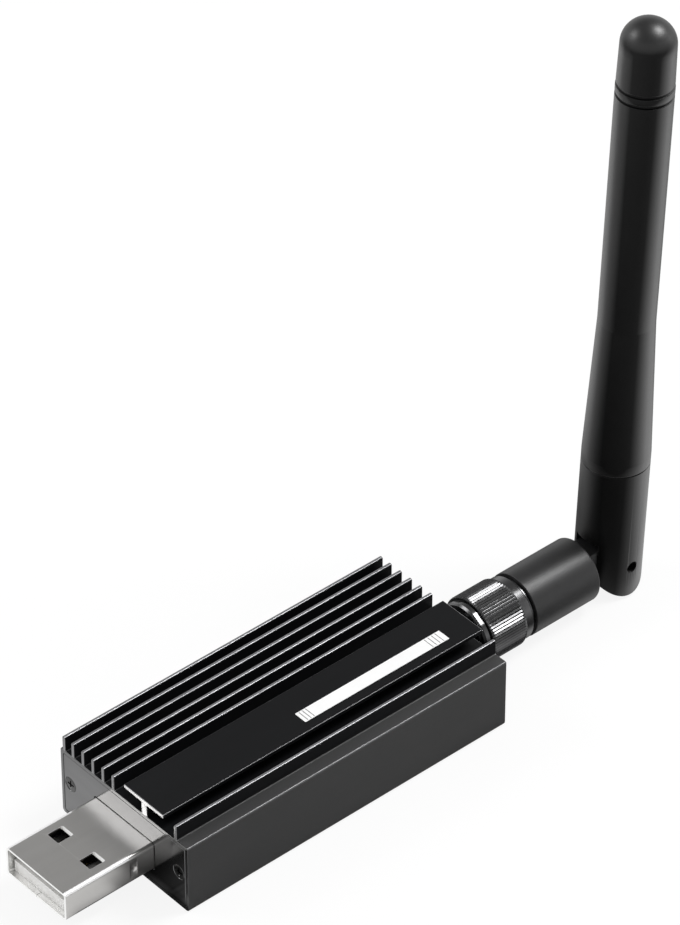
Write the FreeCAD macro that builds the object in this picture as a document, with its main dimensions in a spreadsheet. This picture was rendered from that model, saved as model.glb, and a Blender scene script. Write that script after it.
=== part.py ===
# A USB radio stick for a smart home: a finned aluminium housing with a USB-A plug
# at one end and a screwed-on folding antenna at the other. Millimetres throughout.
# The origin is the centre of the housing's underside, +X points to the antenna, +Z up.
import FreeCAD, Part
import Sketcher
import math
import os
import re

# The driving dimensions, each with its own name
DIMENSIONS = {
    # Housing: an extrusion with fins, a T-shaped platform, rails and two recessed ends
    "housing_length": 54.5,
    "housing_width": 25.5,
    "deck_height": 11.0,
    "corner_radius": 0.5,
    "shoulder_radius": 0.25,
    "side_wall": 1.1,
    "floor_wall": 1.1,
    "roof_wall": 1.1,
    "rail_depth": 2.45,
    "rail_height": 4.5,
    "rail_low": 2.4,
    "slot_depth": 0.6,
    "fin_height": 2.3,
    "fin_thickness": 0.55,
    "crown_height": 0.14,
    "fin_pitch": 2.03,
    "fin_count": 5,
    "fin_first": 1.8,
    "outer_fin_inset": 0.47,
    "lone_fin_inset": 2.15,
    "platform_width": 7.8,
    "platform_centre": -4.1,
    "platform_rise": 2.5,
    "platform_plate": 0.6,
    "platform_bevel": 0.12,
    "web_width": 1.1,
    "web_centre": -4.2,
    # End plates and their countersunk screws
    "rim_width": 0.55,
    "plate_thickness": 1.2,
    "plate_gap": 0.05,
    "plate_radius": 0.3,
    "screw_inset": 1.85,
    "screw_level": 5.8,
    "screw_head": 2.2,
    "screw_shank": 1.4,
    "screw_length": 6.0,
    "head_depth": 0.6,
    "thread_gap": 0.02,
    # USB-A plug
    "plug_level": 4.95,
    "plug_width": 12.0,
    "plug_height": 4.5,
    "plug_length": 18.75,
    "plug_reach": 14.5,
    "plug_wall": 0.32,
    "plug_radius": 0.55,
    "plug_gap": 0.1,
    "window_length": 2.1,
    "window_width": 2.2,
    "window_spread": 6.4,
    "window_setback": 6.45,
    "dimple_setback": 11.1,
    "dimple_radius": 0.6,
    "dimple_depth": 0.18,
    "solder_wing": 1.2,
    "wing_length": 2.0,
    "tongue_setback": 0.8,
    "tongue_thickness": 1.84,
    "insulator_gap": 0.03,
    "insulator_block": 4.2,
    "contact_width": 1.0,
    "contact_thickness": 0.2,
    "contact_setback": 1.8,
    "contact_inner": 1.0,
    "contact_outer": 3.5,
    "contact_tail": 1.6,
    # Circuit board and the parts soldered on it
    "board_thickness": 1.6,
    "board_gap": 0.1,
    "radio_inset": 13.0,
    "serial_inset": 8.0,
    "side_row": 6.0,
    "esd_offset": 4.6,
    "radio_chip_size": 7.0,
    "radio_chip_height": 0.9,
    "serial_chip_size": 5.0,
    "serial_chip_height": 0.85,
    "regulator_length": 4.5,
    "regulator_width": 2.5,
    "regulator_height": 1.5,
    "radio_crystal_length": 3.2,
    "radio_crystal_width": 2.5,
    "radio_crystal_height": 0.7,
    "clock_crystal_length": 3.2,
    "clock_crystal_width": 1.5,
    "clock_crystal_height": 0.8,
    "esd_length": 2.9,
    "esd_width": 1.6,
    "esd_height": 1.1,
    "capacitor_length": 1.6,
    "capacitor_width": 0.8,
    "capacitor_height": 0.8,
    "capacitor_first": 5.5,
    "capacitor_pitch": 3.0,
    "capacitor_row": 5.0,
    "resistor_length": 1.0,
    "resistor_width": 0.5,
    "resistor_height": 0.35,
    "resistor_first": 5.0,
    "resistor_pitch": 2.0,
    "inductor_length": 1.0,
    "inductor_width": 0.5,
    "inductor_height": 0.5,
    "inductor_first": 5.5,
    "inductor_pitch": 2.0,
    # Coaxial jack through the rear plate
    "axis_height": 5.1,
    "jack_thread": 6.3,
    "jack_reach": 8.75,
    "jack_block": 3.0,
    "jack_block_width": 6.4,
    "jack_leg": 1.0,
    "jack_leg_length": 3.2,
    "jack_leg_spread": 5.2,
    "jack_hole": 6.5,
    "insulator_diameter": 4.1,
    "contact_diameter": 1.27,
    "tail_diameter": 0.8,
    "tail_length": 2.6,
    "socket_diameter": 0.94,
    "socket_depth": 2.9,
    "washer_thickness": 0.6,
    "washer_diameter": 9.4,
    "nut_flats": 8.0,
    "nut_thickness": 2.0,
    # Antenna plug and its coupling nut
    "coupling_start": 4.0,
    "hexagon_length": 1.1,
    "hexagon_flats": 8.5,
    "hexagon_diameter": 9.1,
    "hexagon_turn": 31.0,
    "knurl_length": 6.0,
    "knurl_diameter": 10.0,
    "knurl_count": 72,
    "knurl_depth": 0.24,
    "knurl_overcut": 0.05,
    "collar_length": 1.6,
    "collar_diameter": 9.3,
    "coupling_bore": 6.4,
    "coupling_depth": 6.3,
    "coupling_rear_wall": 1.2,
    "ring_outer": 6.9,
    "ring_inner": 4.9,
    "ring_thickness": 0.6,
    "ring_gap": 0.08,
    "ring_split": 0.9,
    "plug_body_diameter": 5.6,
    "plug_pin_diameter": 0.9,
    "plug_pin_reach": 2.5,
    "neck_diameter": 8.4,
    "neck_length": 0.95,
    "neck_gap": 0.125,
    "shank_diameter": 5.0,
    "shank_length": 4.9,
    "catch_diameter": 6.0,
    "catch_length": 0.8,
    "swivel_gap": 0.06,
    # Swivel barrel, elbow and antenna stick
    "barrel_diameter": 9.4,
    "barrel_length": 10.8,
    "elbow_distance": 5.7,
    "tongue_width": 4.0,
    "tongue_height": 6.0,
    "joining_overlap": 1.0,
    "knuckle_stock": 11.4,
    "fork_gap": 0.15,
    "fork_back": 3.4,
    "fork_roof": 4.1,
    "pin_diameter": 1.7,
    "pin_recess": 0.8,
    "pin_core": 0.9,
    "pin_running_gap": 0.05,
    "pin_fixed_gap": 0.02,
    "lean_angle": 2.6,
    "seam_level": 16.0,
    "seam_bevel": 0.15,
    "spigot_diameter": 6.4,
    "spigot_length": 7.0,
    "spigot_gap": 0.03,
    "taper_start": 17.5,
    "taper_end": 39.0,
    "stick_diameter": 7.8,
    "stick_wall": 1.4,
    "ring_groove_first": 73.8,
    "ring_groove_second": 75.3,
    "ring_groove_width": 0.35,
    "ring_groove_depth": 0.15,
    "cap_start": 76.8,
    "cap_diameter": 7.45,
    "dome_start": 82.9,
    "dome_height": 3.0,
    "cable_diameter": 1.13,
    "cable_gap": 0.13,
    "radiator_diameter": 4.6,
    "radiator_wall": 0.3,
    "radiator_start": 24.0,
    "radiator_length": 22.0,
    "whip_diameter": 0.6,
    "whip_length": 28.0,
    # Label on the platform
    "label_length": 24.9,
    "label_width": 2.1,
    "label_thickness": 0.08,
    "label_rear_inset": 4.5,
    "label_centre": -5.45,
}

# Places that several pieces share, worked out from the driving dimensions
FRONT = "(-housing_length / 2)"
REAR = "(housing_length / 2)"
FRONT_LEDGE = "(plate_thickness - housing_length / 2)"
REAR_LEDGE = "(housing_length / 2 - plate_thickness)"
PLATFORM_TOP = "(deck_height + platform_rise)"
PLUG_TIP = "(-housing_length / 2 - plug_reach)"
PLUG_LOW = "(plug_level - plug_height / 2)"
PLUG_BACK = "(plug_length - plug_reach - housing_length / 2)"
TONGUE_TOP = "(plug_level - plug_height / 2 + plug_wall + tongue_thickness)"
SCREW_SIDE = "(housing_width / 2 - screw_inset)"
BOARD_SIDE = "(housing_width / 2 - side_wall - rail_depth + slot_depth - board_gap)"
BOARD_TOP = "(axis_height - tail_diameter / 2)"
BOARD_LOW = "(axis_height - tail_diameter / 2 - board_thickness)"
BOARD_REAR = "(housing_length / 2 - plate_thickness - jack_block)"
JACK_FACE = "(housing_length / 2 + jack_reach)"
NUT_START = "(housing_length / 2 + washer_thickness)"
COUPLING_START = "(housing_length / 2 + coupling_start)"
KNURL_START = "(housing_length / 2 + coupling_start + hexagon_length)"
KNURL_END = "(housing_length / 2 + coupling_start + hexagon_length + knurl_length)"
COUPLING_END = "(housing_length / 2 + coupling_start + hexagon_length + knurl_length + collar_length)"
RING_START = f"({COUPLING_END} - coupling_rear_wall - ring_thickness - ring_gap)"
NECK_START = f"({COUPLING_END} + neck_gap)"
BARREL_START = f"({COUPLING_END} + 2 * neck_gap + neck_length)"
BARREL_END = f"({BARREL_START} + barrel_length)"
ELBOW = f"({BARREL_END} + elbow_distance)"
CATCH_START = f"({BARREL_START} - neck_gap + shank_length)"

# How many of the small parts the board carries
CAPACITOR_PAIRS = 4
RESISTORS = 6
INDUCTORS = 2

SAME_PLACE = 1e-3
TURN_TO_X = FreeCAD.Rotation(FreeCAD.Vector(0, 1, 0), 90)
TURN_TO_Y = FreeCAD.Rotation(FreeCAD.Vector(1, 0, 0), -90)

doc = FreeCAD.newDocument("UsbRadioStick")
sheet = doc.addObject("Spreadsheet::Sheet", "Dimensions")
for row, (alias, number) in enumerate(DIMENSIONS.items(), start=1):
    sheet.set(f"A{row}", alias)
    sheet.set(f"B{row}", str(number))
    sheet.setAlias(f"B{row}", alias)
doc.recompute()

nodes = []


def formula(text):
    """Point each name of a dimension in an expression to its cell"""
    def cell(word):
        return f"Dimensions.{word[0]}" if word[0] in DIMENSIONS else word[0]

    return re.sub(r"[a-z_]+", cell, str(text))


def value(text):
    """The number that an expression gives with the present dimensions"""
    return float(sheet.evalExpression(formula(text)))


def keep(item, label):
    """Name an object as one sub-part of the model"""
    item.Label = label
    nodes.append(item)
    return item


def place(item, x=0, y=0, z=0, rotation=None):
    """Bind an object's place to the dimensions"""
    base = FreeCAD.Vector(value(x), value(y), value(z))
    item.Placement = FreeCAD.Placement(base, rotation or FreeCAD.Rotation())
    for axis, text in zip("xyz", (x, y, z)):
        item.setExpression(f"Placement.Base.{axis}", formula(text))


def new_body(label, z=0):
    """A part body, raised to the level of its own axis"""
    body = keep(doc.addObject("PartDesign::Body", label), label)
    place(body, z=z)
    return body


def lean(item):
    """Stand a piece of the stick on the elbow, leaning as the folded antenna does"""
    place(item, x=ELBOW, z="axis_height", rotation=FreeCAD.Rotation(FreeCAD.Vector(0, 1, 0), 1))
    item.setExpression("Placement.Rotation.Angle", formula("lean_angle"))


def new_sketch(body, name, role, offset=0):
    """A sketch on one of the body's own origin planes, moved along its normal"""
    sketch = body.newObject("Sketcher::SketchObject", f"{body.Name}_{name}")
    origin_plane = [feature for feature in body.Origin.OriginFeatures if feature.Role == role]
    sketch.AttachmentSupport = [(origin_plane[0], "")]
    sketch.MapMode = "FlatFace"
    sketch.setExpression("AttachmentOffset.Base.z", formula(offset))
    return sketch


def bind(sketch, kind, edge, end, text, name):
    """A dimension of a sketch, bound to the sheet; end is 0 for a radius"""
    numbers = (edge, end, value(text)) if end else (edge, value(text))
    index = sketch.addConstraint(Sketcher.Constraint(kind, *numbers))
    sketch.renameConstraint(index, name)
    sketch.setExpression(f"Constraints.{name}", formula(text))


def arc_between(start, end, radius, turn):
    """The short arc from start to end that turns left (1) or right (-1)"""
    chord = end - start
    rise = math.sqrt(max(radius ** 2 - (chord.Length / 2) ** 2, 0))
    side = FreeCAD.Vector(-chord.y, chord.x, 0).normalize()
    centre = (start + end) * 0.5 + side * rise * turn
    first, last = (start, end) if turn > 0 else (end, start)
    angles = [math.atan2(point.y - centre.y, point.x - centre.x) for point in (first, last)]
    return Part.ArcOfCircle(Part.Circle(centre, FreeCAD.Vector(0, 0, 1), radius), *angles)


def outline(sketch, corners):
    """A closed outline through corners (u, v), or (u, v, radius, turn) where an arc starts"""
    first = sketch.GeometryCount
    points = [FreeCAD.Vector(value(corner[0]), value(corner[1]), 0) for corner in corners]
    ends = []
    for number, corner in enumerate(corners):
        start, end = points[number], points[(number + 1) % len(points)]
        curved = len(corner) > 2
        if curved:
            edge = arc_between(start, end, value(corner[2]), corner[3])
        else:
            edge = Part.LineSegment(start, end)
        sketch.addGeometry(edge, False)
        ends.append((2, 1) if curved and corner[3] < 0 else (1, 2))
    for number, corner in enumerate(corners):
        edge, after = first + number, (number + 1) % len(corners)
        sketch.addConstraint(
            Sketcher.Constraint("Coincident", edge, ends[number][1], first + after, ends[after][0]))
        bind(sketch, "DistanceX", edge, ends[number][0], corner[0], f"u{edge}")
        bind(sketch, "DistanceY", edge, ends[number][0], corner[1], f"v{edge}")
        if len(corner) > 2:
            bind(sketch, "Radius", edge, 0, corner[2], f"r{edge}")


def crown_radius(half_width, height):
    """The radius of the arc that spans twice the half width and rises by the height"""
    return f"(({half_width}) ^ 2 + {height} ^ 2) / (2 * {height})"


def rectangle(low_u, high_u, low_v, high_v):
    """The corners of a rectangle"""
    return [(low_u, low_v), (high_u, low_v), (high_u, high_v), (low_u, high_v)]


def rounded_rectangle(low_u, high_u, low_v, high_v, radius):
    """The corners of a rectangle with round corners"""
    near_u, far_u = f"{low_u} + {radius}", f"{high_u} - {radius}"
    near_v, far_v = f"{low_v} + {radius}", f"{high_v} - {radius}"
    return [(near_u, low_v), (far_u, low_v, radius, 1), (high_u, near_v), (high_u, far_v, radius, 1),
            (far_u, high_v), (near_u, high_v, radius, 1), (low_u, far_v), (low_u, near_v, radius, 1)]


def circle(sketch, u, v, radius):
    """A circle, bound to the sheet"""
    edge = sketch.addGeometry(Part.Circle(FreeCAD.Vector(value(u), value(v), 0), FreeCAD.Vector(0, 0, 1),
                                          value(radius)), False)
    bind(sketch, "DistanceX", edge, 3, u, f"u{edge}")
    bind(sketch, "DistanceY", edge, 3, v, f"v{edge}")
    bind(sketch, "Radius", edge, 0, radius, f"r{edge}")


def extrude(body, kind, sketch, length, towards_normal=True, both_ways=False):
    """A Pad or a Pocket of a sketch; a pocket cuts against the normal unless it is reversed"""
    feature = body.newObject(f"PartDesign::{kind}", f"{sketch.Name}_{kind}")
    feature.Profile = sketch
    feature.setExpression("Length", formula(length))
    feature.Reversed = towards_normal == (kind == "Pocket")
    if both_ways:
        feature.SideType = "Symmetric"
    return feature


def turned(body, kind, sketch, axis="H_Axis"):
    """A Revolution or a Groove of a sketch about one of its axes"""
    feature = body.newObject(f"PartDesign::{kind}", f"{sketch.Name}_{kind}")
    feature.Profile = sketch
    feature.ReferenceAxis = (sketch, [axis])
    feature.Angle = 360
    return feature


def primitive(body, kind, name, sizes, x=0, y=0, z=0, rotation=None):
    """An additive or subtractive primitive of a body"""
    feature = body.newObject(f"PartDesign::{kind}", f"{body.Name}_{name}")
    for key, text in sizes.items():
        feature.setExpression(key, formula(text))
    place(feature, x, y, z, rotation)
    return feature


def centred_box(body, kind, name, x, length, width, height, y=0, z=0):
    """A box that starts at x and is centred on y and z"""
    sizes = {"Length": length, "Width": width, "Height": height}
    return primitive(body, kind, name, sizes, x, f"{y} - ({width}) / 2", f"{z} - ({height}) / 2")


def fillet(body, name, radius, chosen):
    """Round the edges of the body's tip that a test chooses"""
    doc.recompute()
    base = body.Tip
    edges = [f"Edge{number}" for number, edge in enumerate(base.Shape.Edges, start=1) if chosen(edge)]
    feature = body.newObject("PartDesign::Fillet", f"{body.Name}_{name}")
    feature.Base = (base, edges)
    feature.setExpression("Radius", formula(radius))
    return feature


def solid_box(label, x, y, z, length, width, height):
    """A plain box whose centre lies at x and y and whose underside lies at z"""
    item = doc.addObject("Part::Box", label)
    for key, text in (("Length", length), ("Width", width), ("Height", height)):
        item.setExpression(key, formula(text))
    place(item, f"{x} - ({length}) / 2", f"{y} - ({width}) / 2", z)
    return item


def group(label, items):
    """Equal pieces that share one node as separate solids"""
    compound = doc.addObject("Part::Compound", label)
    compound.Links = items
    return keep(compound, label)


def along_x(edge):
    """Whether a straight edge runs along the housing"""
    start, end = edge.Vertexes[0].Point, edge.Vertexes[-1].Point
    return abs(start.y - end.y) < SAME_PLACE and abs(start.z - end.z) < SAME_PLACE


def make_fin(body, name, low_y):
    """One fin with a rounded crown, rooted on the deck"""
    sketch = new_sketch(body, name, "YZ_Plane", FRONT)
    high_y = f"{low_y} + fin_thickness"
    shoulder = "deck_height + fin_height - crown_height"
    crown = crown_radius("fin_thickness / 2", "crown_height")
    outline(sketch, [(low_y, "deck_height"), (high_y, "deck_height"), (high_y, shoulder, crown, 1),
                     (low_y, shoulder)])
    return extrude(body, "Pad", sketch, "housing_length")


def make_housing():
    """The extrusion: outer shell, fins, T-shaped platform, hollow with rails, recessed ends"""
    body = new_body("housing_extrusion")
    half = "housing_width / 2"
    shell = new_sketch(body, "shell", "YZ_Plane", FRONT)
    outline(shell, rectangle(f"-{half}", half, "0", "deck_height"))
    extrude(body, "Pad", shell, "housing_length")
    deck = value("deck_height") - SAME_PLACE
    fillet(body, "foot_rounding", "corner_radius",
           lambda edge: along_x(edge) and edge.Vertexes[0].Z < SAME_PLACE)
    fillet(body, "shoulder_rounding", "shoulder_radius",
           lambda edge: along_x(edge) and edge.Vertexes[0].Z > deck)

    make_fin(body, "outer_fin", f"{half} - outer_fin_inset - fin_thickness")
    make_fin(body, "lone_fin", f"lone_fin_inset - {half}")
    inner_fin = make_fin(body, "inner_fin", "fin_first")
    row_of_fins = body.newObject("PartDesign::LinearPattern", "fin_row")
    row_of_fins.Originals = [inner_fin]
    row_of_fins.Direction = (inner_fin.Profile[0], ["H_Axis"])
    row_of_fins.setExpression("Occurrences", formula("fin_count"))
    row_of_fins.setExpression("Length", formula("fin_pitch * (fin_count - 1)"))
    body.Tip = row_of_fins

    platform = new_sketch(body, "platform", "YZ_Plane", FRONT)
    under = "deck_height + platform_rise - platform_plate"
    bevel_level = "deck_height + platform_rise - platform_bevel"
    left, right = "platform_centre + platform_width / 2", "platform_centre - platform_width / 2"
    web_left, web_right = "web_centre + web_width / 2", "web_centre - web_width / 2"
    outline(platform, [(web_right, "deck_height"), (web_left, "deck_height"), (web_left, under),
                       (left, under), (left, bevel_level), (f"{left} - platform_bevel", PLATFORM_TOP),
                       (f"{right} + platform_bevel", PLATFORM_TOP), (right, bevel_level), (right, under),
                       (web_right, under)])
    extrude(body, "Pad", platform, "housing_length")

    hollow = new_sketch(body, "hollow", "YZ_Plane", FRONT)
    wall = f"{half} - side_wall"
    rail = f"{half} - side_wall - rail_depth"
    slot = f"{half} - side_wall - rail_depth + slot_depth"
    rail_top = "rail_low + rail_height"
    slot_top = f"{BOARD_TOP} + board_gap"
    right_side = [(wall, "floor_wall"), (wall, "rail_low"), (rail, "rail_low"), (rail, BOARD_LOW),
                  (slot, BOARD_LOW), (slot, slot_top), (rail, slot_top), (rail, rail_top), (wall, rail_top),
                  (wall, "deck_height - roof_wall")]
    left_side = [(f"-({y})", z) for y, z in reversed(right_side)]
    outline(hollow, right_side + left_side)
    extrude(body, "Pocket", hollow, "housing_length", towards_normal=True)

    for name, start, inwards in (("front_recess", FRONT, True), ("rear_recess", REAR, False)):
        recess = new_sketch(body, name, "YZ_Plane", start)
        edge = f"{half} - rim_width"
        outline(recess, rounded_rectangle(f"rim_width - {half}", edge, "rim_width", "deck_height - rim_width",
                                          "plate_radius"))
        extrude(body, "Pocket", recess, "plate_thickness", towards_normal=inwards)

    holes = new_sketch(body, "screw_channels", "YZ_Plane", FRONT)
    for side in ("", "-"):
        circle(holes, f"{side}{SCREW_SIDE}", "screw_level", "screw_shank / 2 + thread_gap")
    extrude(body, "Pocket", holes, "housing_length", towards_normal=True)


def make_end_plate(label, outer_face, inwards, cut_opening):
    """A flat plate that sits flush in the recess of one end"""
    body = new_body(label)
    edge = "housing_width / 2 - rim_width - plate_gap"
    sheet_outline = new_sketch(body, "blank", "YZ_Plane", outer_face)
    outline(sheet_outline, rounded_rectangle(f"-({edge})", edge, "rim_width + plate_gap",
                                             "deck_height - rim_width - plate_gap", "plate_radius"))
    extrude(body, "Pad", sheet_outline, "plate_thickness", towards_normal=inwards)
    openings = new_sketch(body, "openings", "YZ_Plane", outer_face)
    cut_opening(openings)
    for side in ("", "-"):
        circle(openings, f"{side}{SCREW_SIDE}", "screw_level", "screw_shank / 2 + thread_gap")
    extrude(body, "Pocket", openings, "plate_thickness", towards_normal=inwards)
    rotation = TURN_TO_X if inwards else FreeCAD.Rotation(FreeCAD.Vector(0, 1, 0), -90)
    for name, side in (("left_sink", ""), ("right_sink", "-")):
        sizes = {"Radius1": "screw_head / 2 + thread_gap", "Radius2": "screw_shank / 2 + thread_gap",
                 "Height": "head_depth"}
        primitive(body, "SubtractiveCone", name, sizes, outer_face, f"{side}{SCREW_SIDE}", "screw_level",
                  rotation)


def plug_opening(sketch):
    """The opening for the USB plug in the front plate"""
    half_width, half_height = "(plug_width / 2 + plug_gap)", "(plug_height / 2 + plug_gap)"
    outline(sketch, rounded_rectangle(f"-{half_width}", half_width, f"plug_level - {half_height}",
                                      f"plug_level + {half_height}", "plug_radius"))


def jack_opening(sketch):
    """The hole for the coaxial jack in the rear plate"""
    circle(sketch, "0", "axis_height", "jack_hole / 2")


def make_screws(label, outer_face, sign):
    """Two countersunk screws of one end plate"""
    screws = []
    for side in ("", "-"):
        screw = doc.addObject("PartDesign::Body", f"{label}_{'left' if side == '' else 'right'}")
        place(screw, outer_face, f"{side}{SCREW_SIDE}", "screw_level")
        profile = new_sketch(screw, "profile", "XZ_Plane")
        outline(profile, [("0", "0"), ("0", "screw_head / 2"), (f"{sign}head_depth", "screw_shank / 2"),
                          (f"{sign}screw_length", "screw_shank / 2"), (f"{sign}screw_length", "0")])
        turned(screw, "Revolution", profile)
        screws.append(screw)
    group(label, screws)


def make_usb_shell():
    """The folded shell of the plug, with windows, dimples and solder wings"""
    body = new_body("usb_shell")
    half_width, half_height = "(plug_width / 2)", "(plug_height / 2)"
    outside = new_sketch(body, "outside", "YZ_Plane", PLUG_TIP)
    outline(outside, rounded_rectangle(f"-{half_width}", half_width, f"plug_level - {half_height}",
                                       f"plug_level + {half_height}", "plug_radius"))
    extrude(body, "Pad", outside, "plug_length")
    for name, side in (("left_wing", 1), ("right_wing", -1)):
        centred_box(body, "AdditiveBox", name, f"{PLUG_BACK} - wing_length", "wing_length",
                    "solder_wing + plug_wall", "plug_wall",
                    f"{side} * (plug_width + solder_wing - plug_wall) / 2", f"{BOARD_TOP} + plug_wall / 2")
    inside = new_sketch(body, "inside", "YZ_Plane", PLUG_TIP)
    inner_width, inner_height = "(plug_width / 2 - plug_wall)", "(plug_height / 2 - plug_wall)"
    outline(inside, rounded_rectangle(f"-{inner_width}", inner_width, f"plug_level - {inner_height}",
                                      f"plug_level + {inner_height}", "(plug_radius - plug_wall)"))
    extrude(body, "Pocket", inside, "plug_length", towards_normal=True)
    for name, side in (("left_windows", 1), ("right_windows", -1)):
        centred_box(body, "SubtractiveBox", name, f"{PLUG_TIP} + window_setback - window_length / 2",
                    "window_length", "window_width", "plug_height * 2", f"{side} * window_spread / 2",
                    "plug_level")
    for name, side in (("left_dimple", 1), ("right_dimple", -1)):
        primitive(body, "SubtractiveSphere", name, {"Radius": "dimple_radius"},
                  f"{PLUG_TIP} + dimple_setback",
                  f"{side} * (plug_width / 2 + dimple_radius - dimple_depth)", "plug_level")


def make_usb_insulator():
    """The plastic tongue of the plug and the block behind it, with channels for the contacts"""
    body = new_body("usb_insulator")
    width = "plug_width - 2 * plug_wall - 2 * insulator_gap - 2 * (plug_radius - plug_wall)"
    floor = f"{PLUG_LOW} + plug_wall"
    centred_box(body, "AdditiveBox", "tongue", f"{PLUG_TIP} + tongue_setback", "plug_length - tongue_setback",
                width, "tongue_thickness", 0, f"{floor} + tongue_thickness / 2")
    height = "plug_height - 2 * plug_wall - insulator_gap"
    centred_box(body, "AdditiveBox", "block", f"{PLUG_BACK} - insulator_block", "insulator_block", width,
                height, 0, f"{floor} + ({height}) / 2")
    for name, y in contact_places():
        centred_box(body, "SubtractiveBox", f"channel_{name}", f"{PLUG_BACK} - insulator_block",
                    "insulator_block", "contact_width + 2 * insulator_gap",
                    "contact_thickness + insulator_gap", y,
                    f"{TONGUE_TOP} + (contact_thickness + insulator_gap) / 2")


def contact_places():
    """The four contacts, from the left to the right"""
    return (("left_outer", "contact_outer"), ("left_inner", "contact_inner"),
            ("right_inner", "-contact_inner"), ("right_outer", "-contact_outer"))


def make_usb_contacts():
    """Four strips on the tongue, each with a foot on the board"""
    contacts = []
    for name, y in contact_places():
        length = "(plug_length - contact_setback + contact_tail)"
        strip = solid_box(f"strip_{name}", f"{PLUG_TIP} + contact_setback + {length} / 2", y, TONGUE_TOP,
                          length, "contact_width", "contact_thickness")
        foot = solid_box(f"foot_{name}", f"{PLUG_BACK} + contact_tail * 3 / 4", y, BOARD_TOP,
                         "contact_tail / 2", "contact_width",
                         f"{TONGUE_TOP} - {BOARD_TOP} + contact_thickness")
        contact = doc.addObject("Part::Fuse", f"contact_{name}")
        contact.Base, contact.Tool = strip, foot
        contacts.append(contact)
    group("usb_contacts", contacts)


def make_circuit_board():
    """The board between the rails, notched round the plug"""
    body = new_body("circuit_board")
    sketch = new_sketch(body, "blank", "XY_Plane", BOARD_LOW)
    notch_side = "(plug_width / 2 + plug_gap)"
    front = f"{FRONT_LEDGE} + board_gap"
    notch = f"{PLUG_BACK} + plug_gap"
    outline(sketch, [(front, f"-{BOARD_SIDE}"), (BOARD_REAR, f"-{BOARD_SIDE}"), (BOARD_REAR, BOARD_SIDE),
                     (front, BOARD_SIDE), (front, notch_side), (notch, notch_side), (notch, f"-{notch_side}"),
                     (front, f"-{notch_side}")])
    extrude(body, "Pad", sketch, "board_thickness")


def make_board_parts():
    """What is soldered on the board: chips, crystals, regulator and small parts"""
    radio_x = f"({BOARD_REAR} - radio_inset)"
    serial_x = f"({PLUG_BACK} + serial_inset)"
    single_parts = (("radio_chip", radio_x, 0, "radio_chip_size", "radio_chip_size", "radio_chip_height"),
                    ("usb_serial_chip", serial_x, 0, "serial_chip_size", "serial_chip_size",
                     "serial_chip_height"),
                    ("voltage_regulator", serial_x, "side_row", "regulator_length", "regulator_width",
                     "regulator_height"),
                    ("radio_crystal", radio_x, "side_row", "radio_crystal_length", "radio_crystal_width",
                     "radio_crystal_height"),
                    ("clock_crystal", radio_x, "-side_row", "clock_crystal_length", "clock_crystal_width",
                     "clock_crystal_height"),
                    ("esd_array", f"{serial_x} - esd_offset", "-side_row", "esd_length", "esd_width",
                     "esd_height"))
    for label, x, y, length, width, height in single_parts:
        keep(solid_box(label, x, y, BOARD_TOP, length, width, height), label)
    capacitor_places = [(column, side) for column in range(CAPACITOR_PAIRS) for side in ("", "-")]
    group("ceramic_capacitors", [
        solid_box(f"capacitor_{column}_{'left' if side == '' else 'right'}",
                  f"{serial_x} + capacitor_first + {column} * capacitor_pitch", f"{side}capacitor_row",
                  BOARD_TOP, "capacitor_length", "capacitor_width", "capacitor_height")
        for column, side in capacitor_places])
    group("chip_resistors", [
        solid_box(f"resistor_{number}", f"{serial_x} + resistor_first + {number} * resistor_pitch", 0,
                  BOARD_TOP, "resistor_width", "resistor_length", "resistor_height")
        for number in range(RESISTORS)])
    group("rf_inductors", [
        solid_box(f"inductor_{number}", f"{radio_x} + inductor_first + {number} * inductor_pitch", 0,
                  BOARD_TOP, "inductor_length", "inductor_width", "inductor_height")
        for number in range(INDUCTORS)])


def make_jack():
    """The coaxial jack: block and legs on the board's edge, thread through the rear plate"""
    body = new_body("sma_jack_body", "axis_height")
    tube = new_sketch(body, "tube", "XZ_Plane")
    outline(tube, [(REAR_LEDGE, "insulator_diameter / 2"), (JACK_FACE, "insulator_diameter / 2"),
                   (JACK_FACE, "jack_thread / 2"), (REAR_LEDGE, "jack_thread / 2")])
    turned(body, "Revolution", tube)
    centred_box(body, "AdditiveBox", "block", BOARD_REAR, "jack_block", "jack_block_width",
                "jack_block_width")
    for name, side, level in (("left_upper_leg", 1, f"{BOARD_TOP} - axis_height + jack_leg / 2"),
                              ("right_upper_leg", -1, f"{BOARD_TOP} - axis_height + jack_leg / 2"),
                              ("left_lower_leg", 1, f"{BOARD_LOW} - axis_height - jack_leg / 2"),
                              ("right_lower_leg", -1, f"{BOARD_LOW} - axis_height - jack_leg / 2")):
        centred_box(body, "AdditiveBox", name, f"{BOARD_REAR} - jack_leg_length",
                    "jack_leg_length + jack_block / 4", "jack_leg", "jack_leg",
                    f"{side} * jack_leg_spread / 2", level)
    primitive(body, "SubtractiveCylinder", "bore",
              {"Radius": "insulator_diameter / 2", "Height": "jack_block"}, BOARD_REAR, rotation=TURN_TO_X)

    insulator = new_body("sma_jack_insulator", "axis_height")
    ring = new_sketch(insulator, "ring", "XZ_Plane")
    outline(ring, rectangle(BOARD_REAR, JACK_FACE, "contact_diameter / 2", "insulator_diameter / 2"))
    turned(insulator, "Revolution", ring)

    contact = new_body("sma_jack_contact", "axis_height")
    rod = new_sketch(contact, "rod", "XZ_Plane")
    socket_bottom = f"{JACK_FACE} - socket_depth"
    tail_end = f"{BOARD_REAR} - tail_length"
    outline(rod, [(tail_end, "0"), (socket_bottom, "0"), (socket_bottom, "socket_diameter / 2"),
                  (JACK_FACE, "socket_diameter / 2"), (JACK_FACE, "contact_diameter / 2"),
                  (BOARD_REAR, "contact_diameter / 2"), (BOARD_REAR, "tail_diameter / 2"),
                  (tail_end, "tail_diameter / 2")])
    turned(contact, "Revolution", rod)


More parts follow.
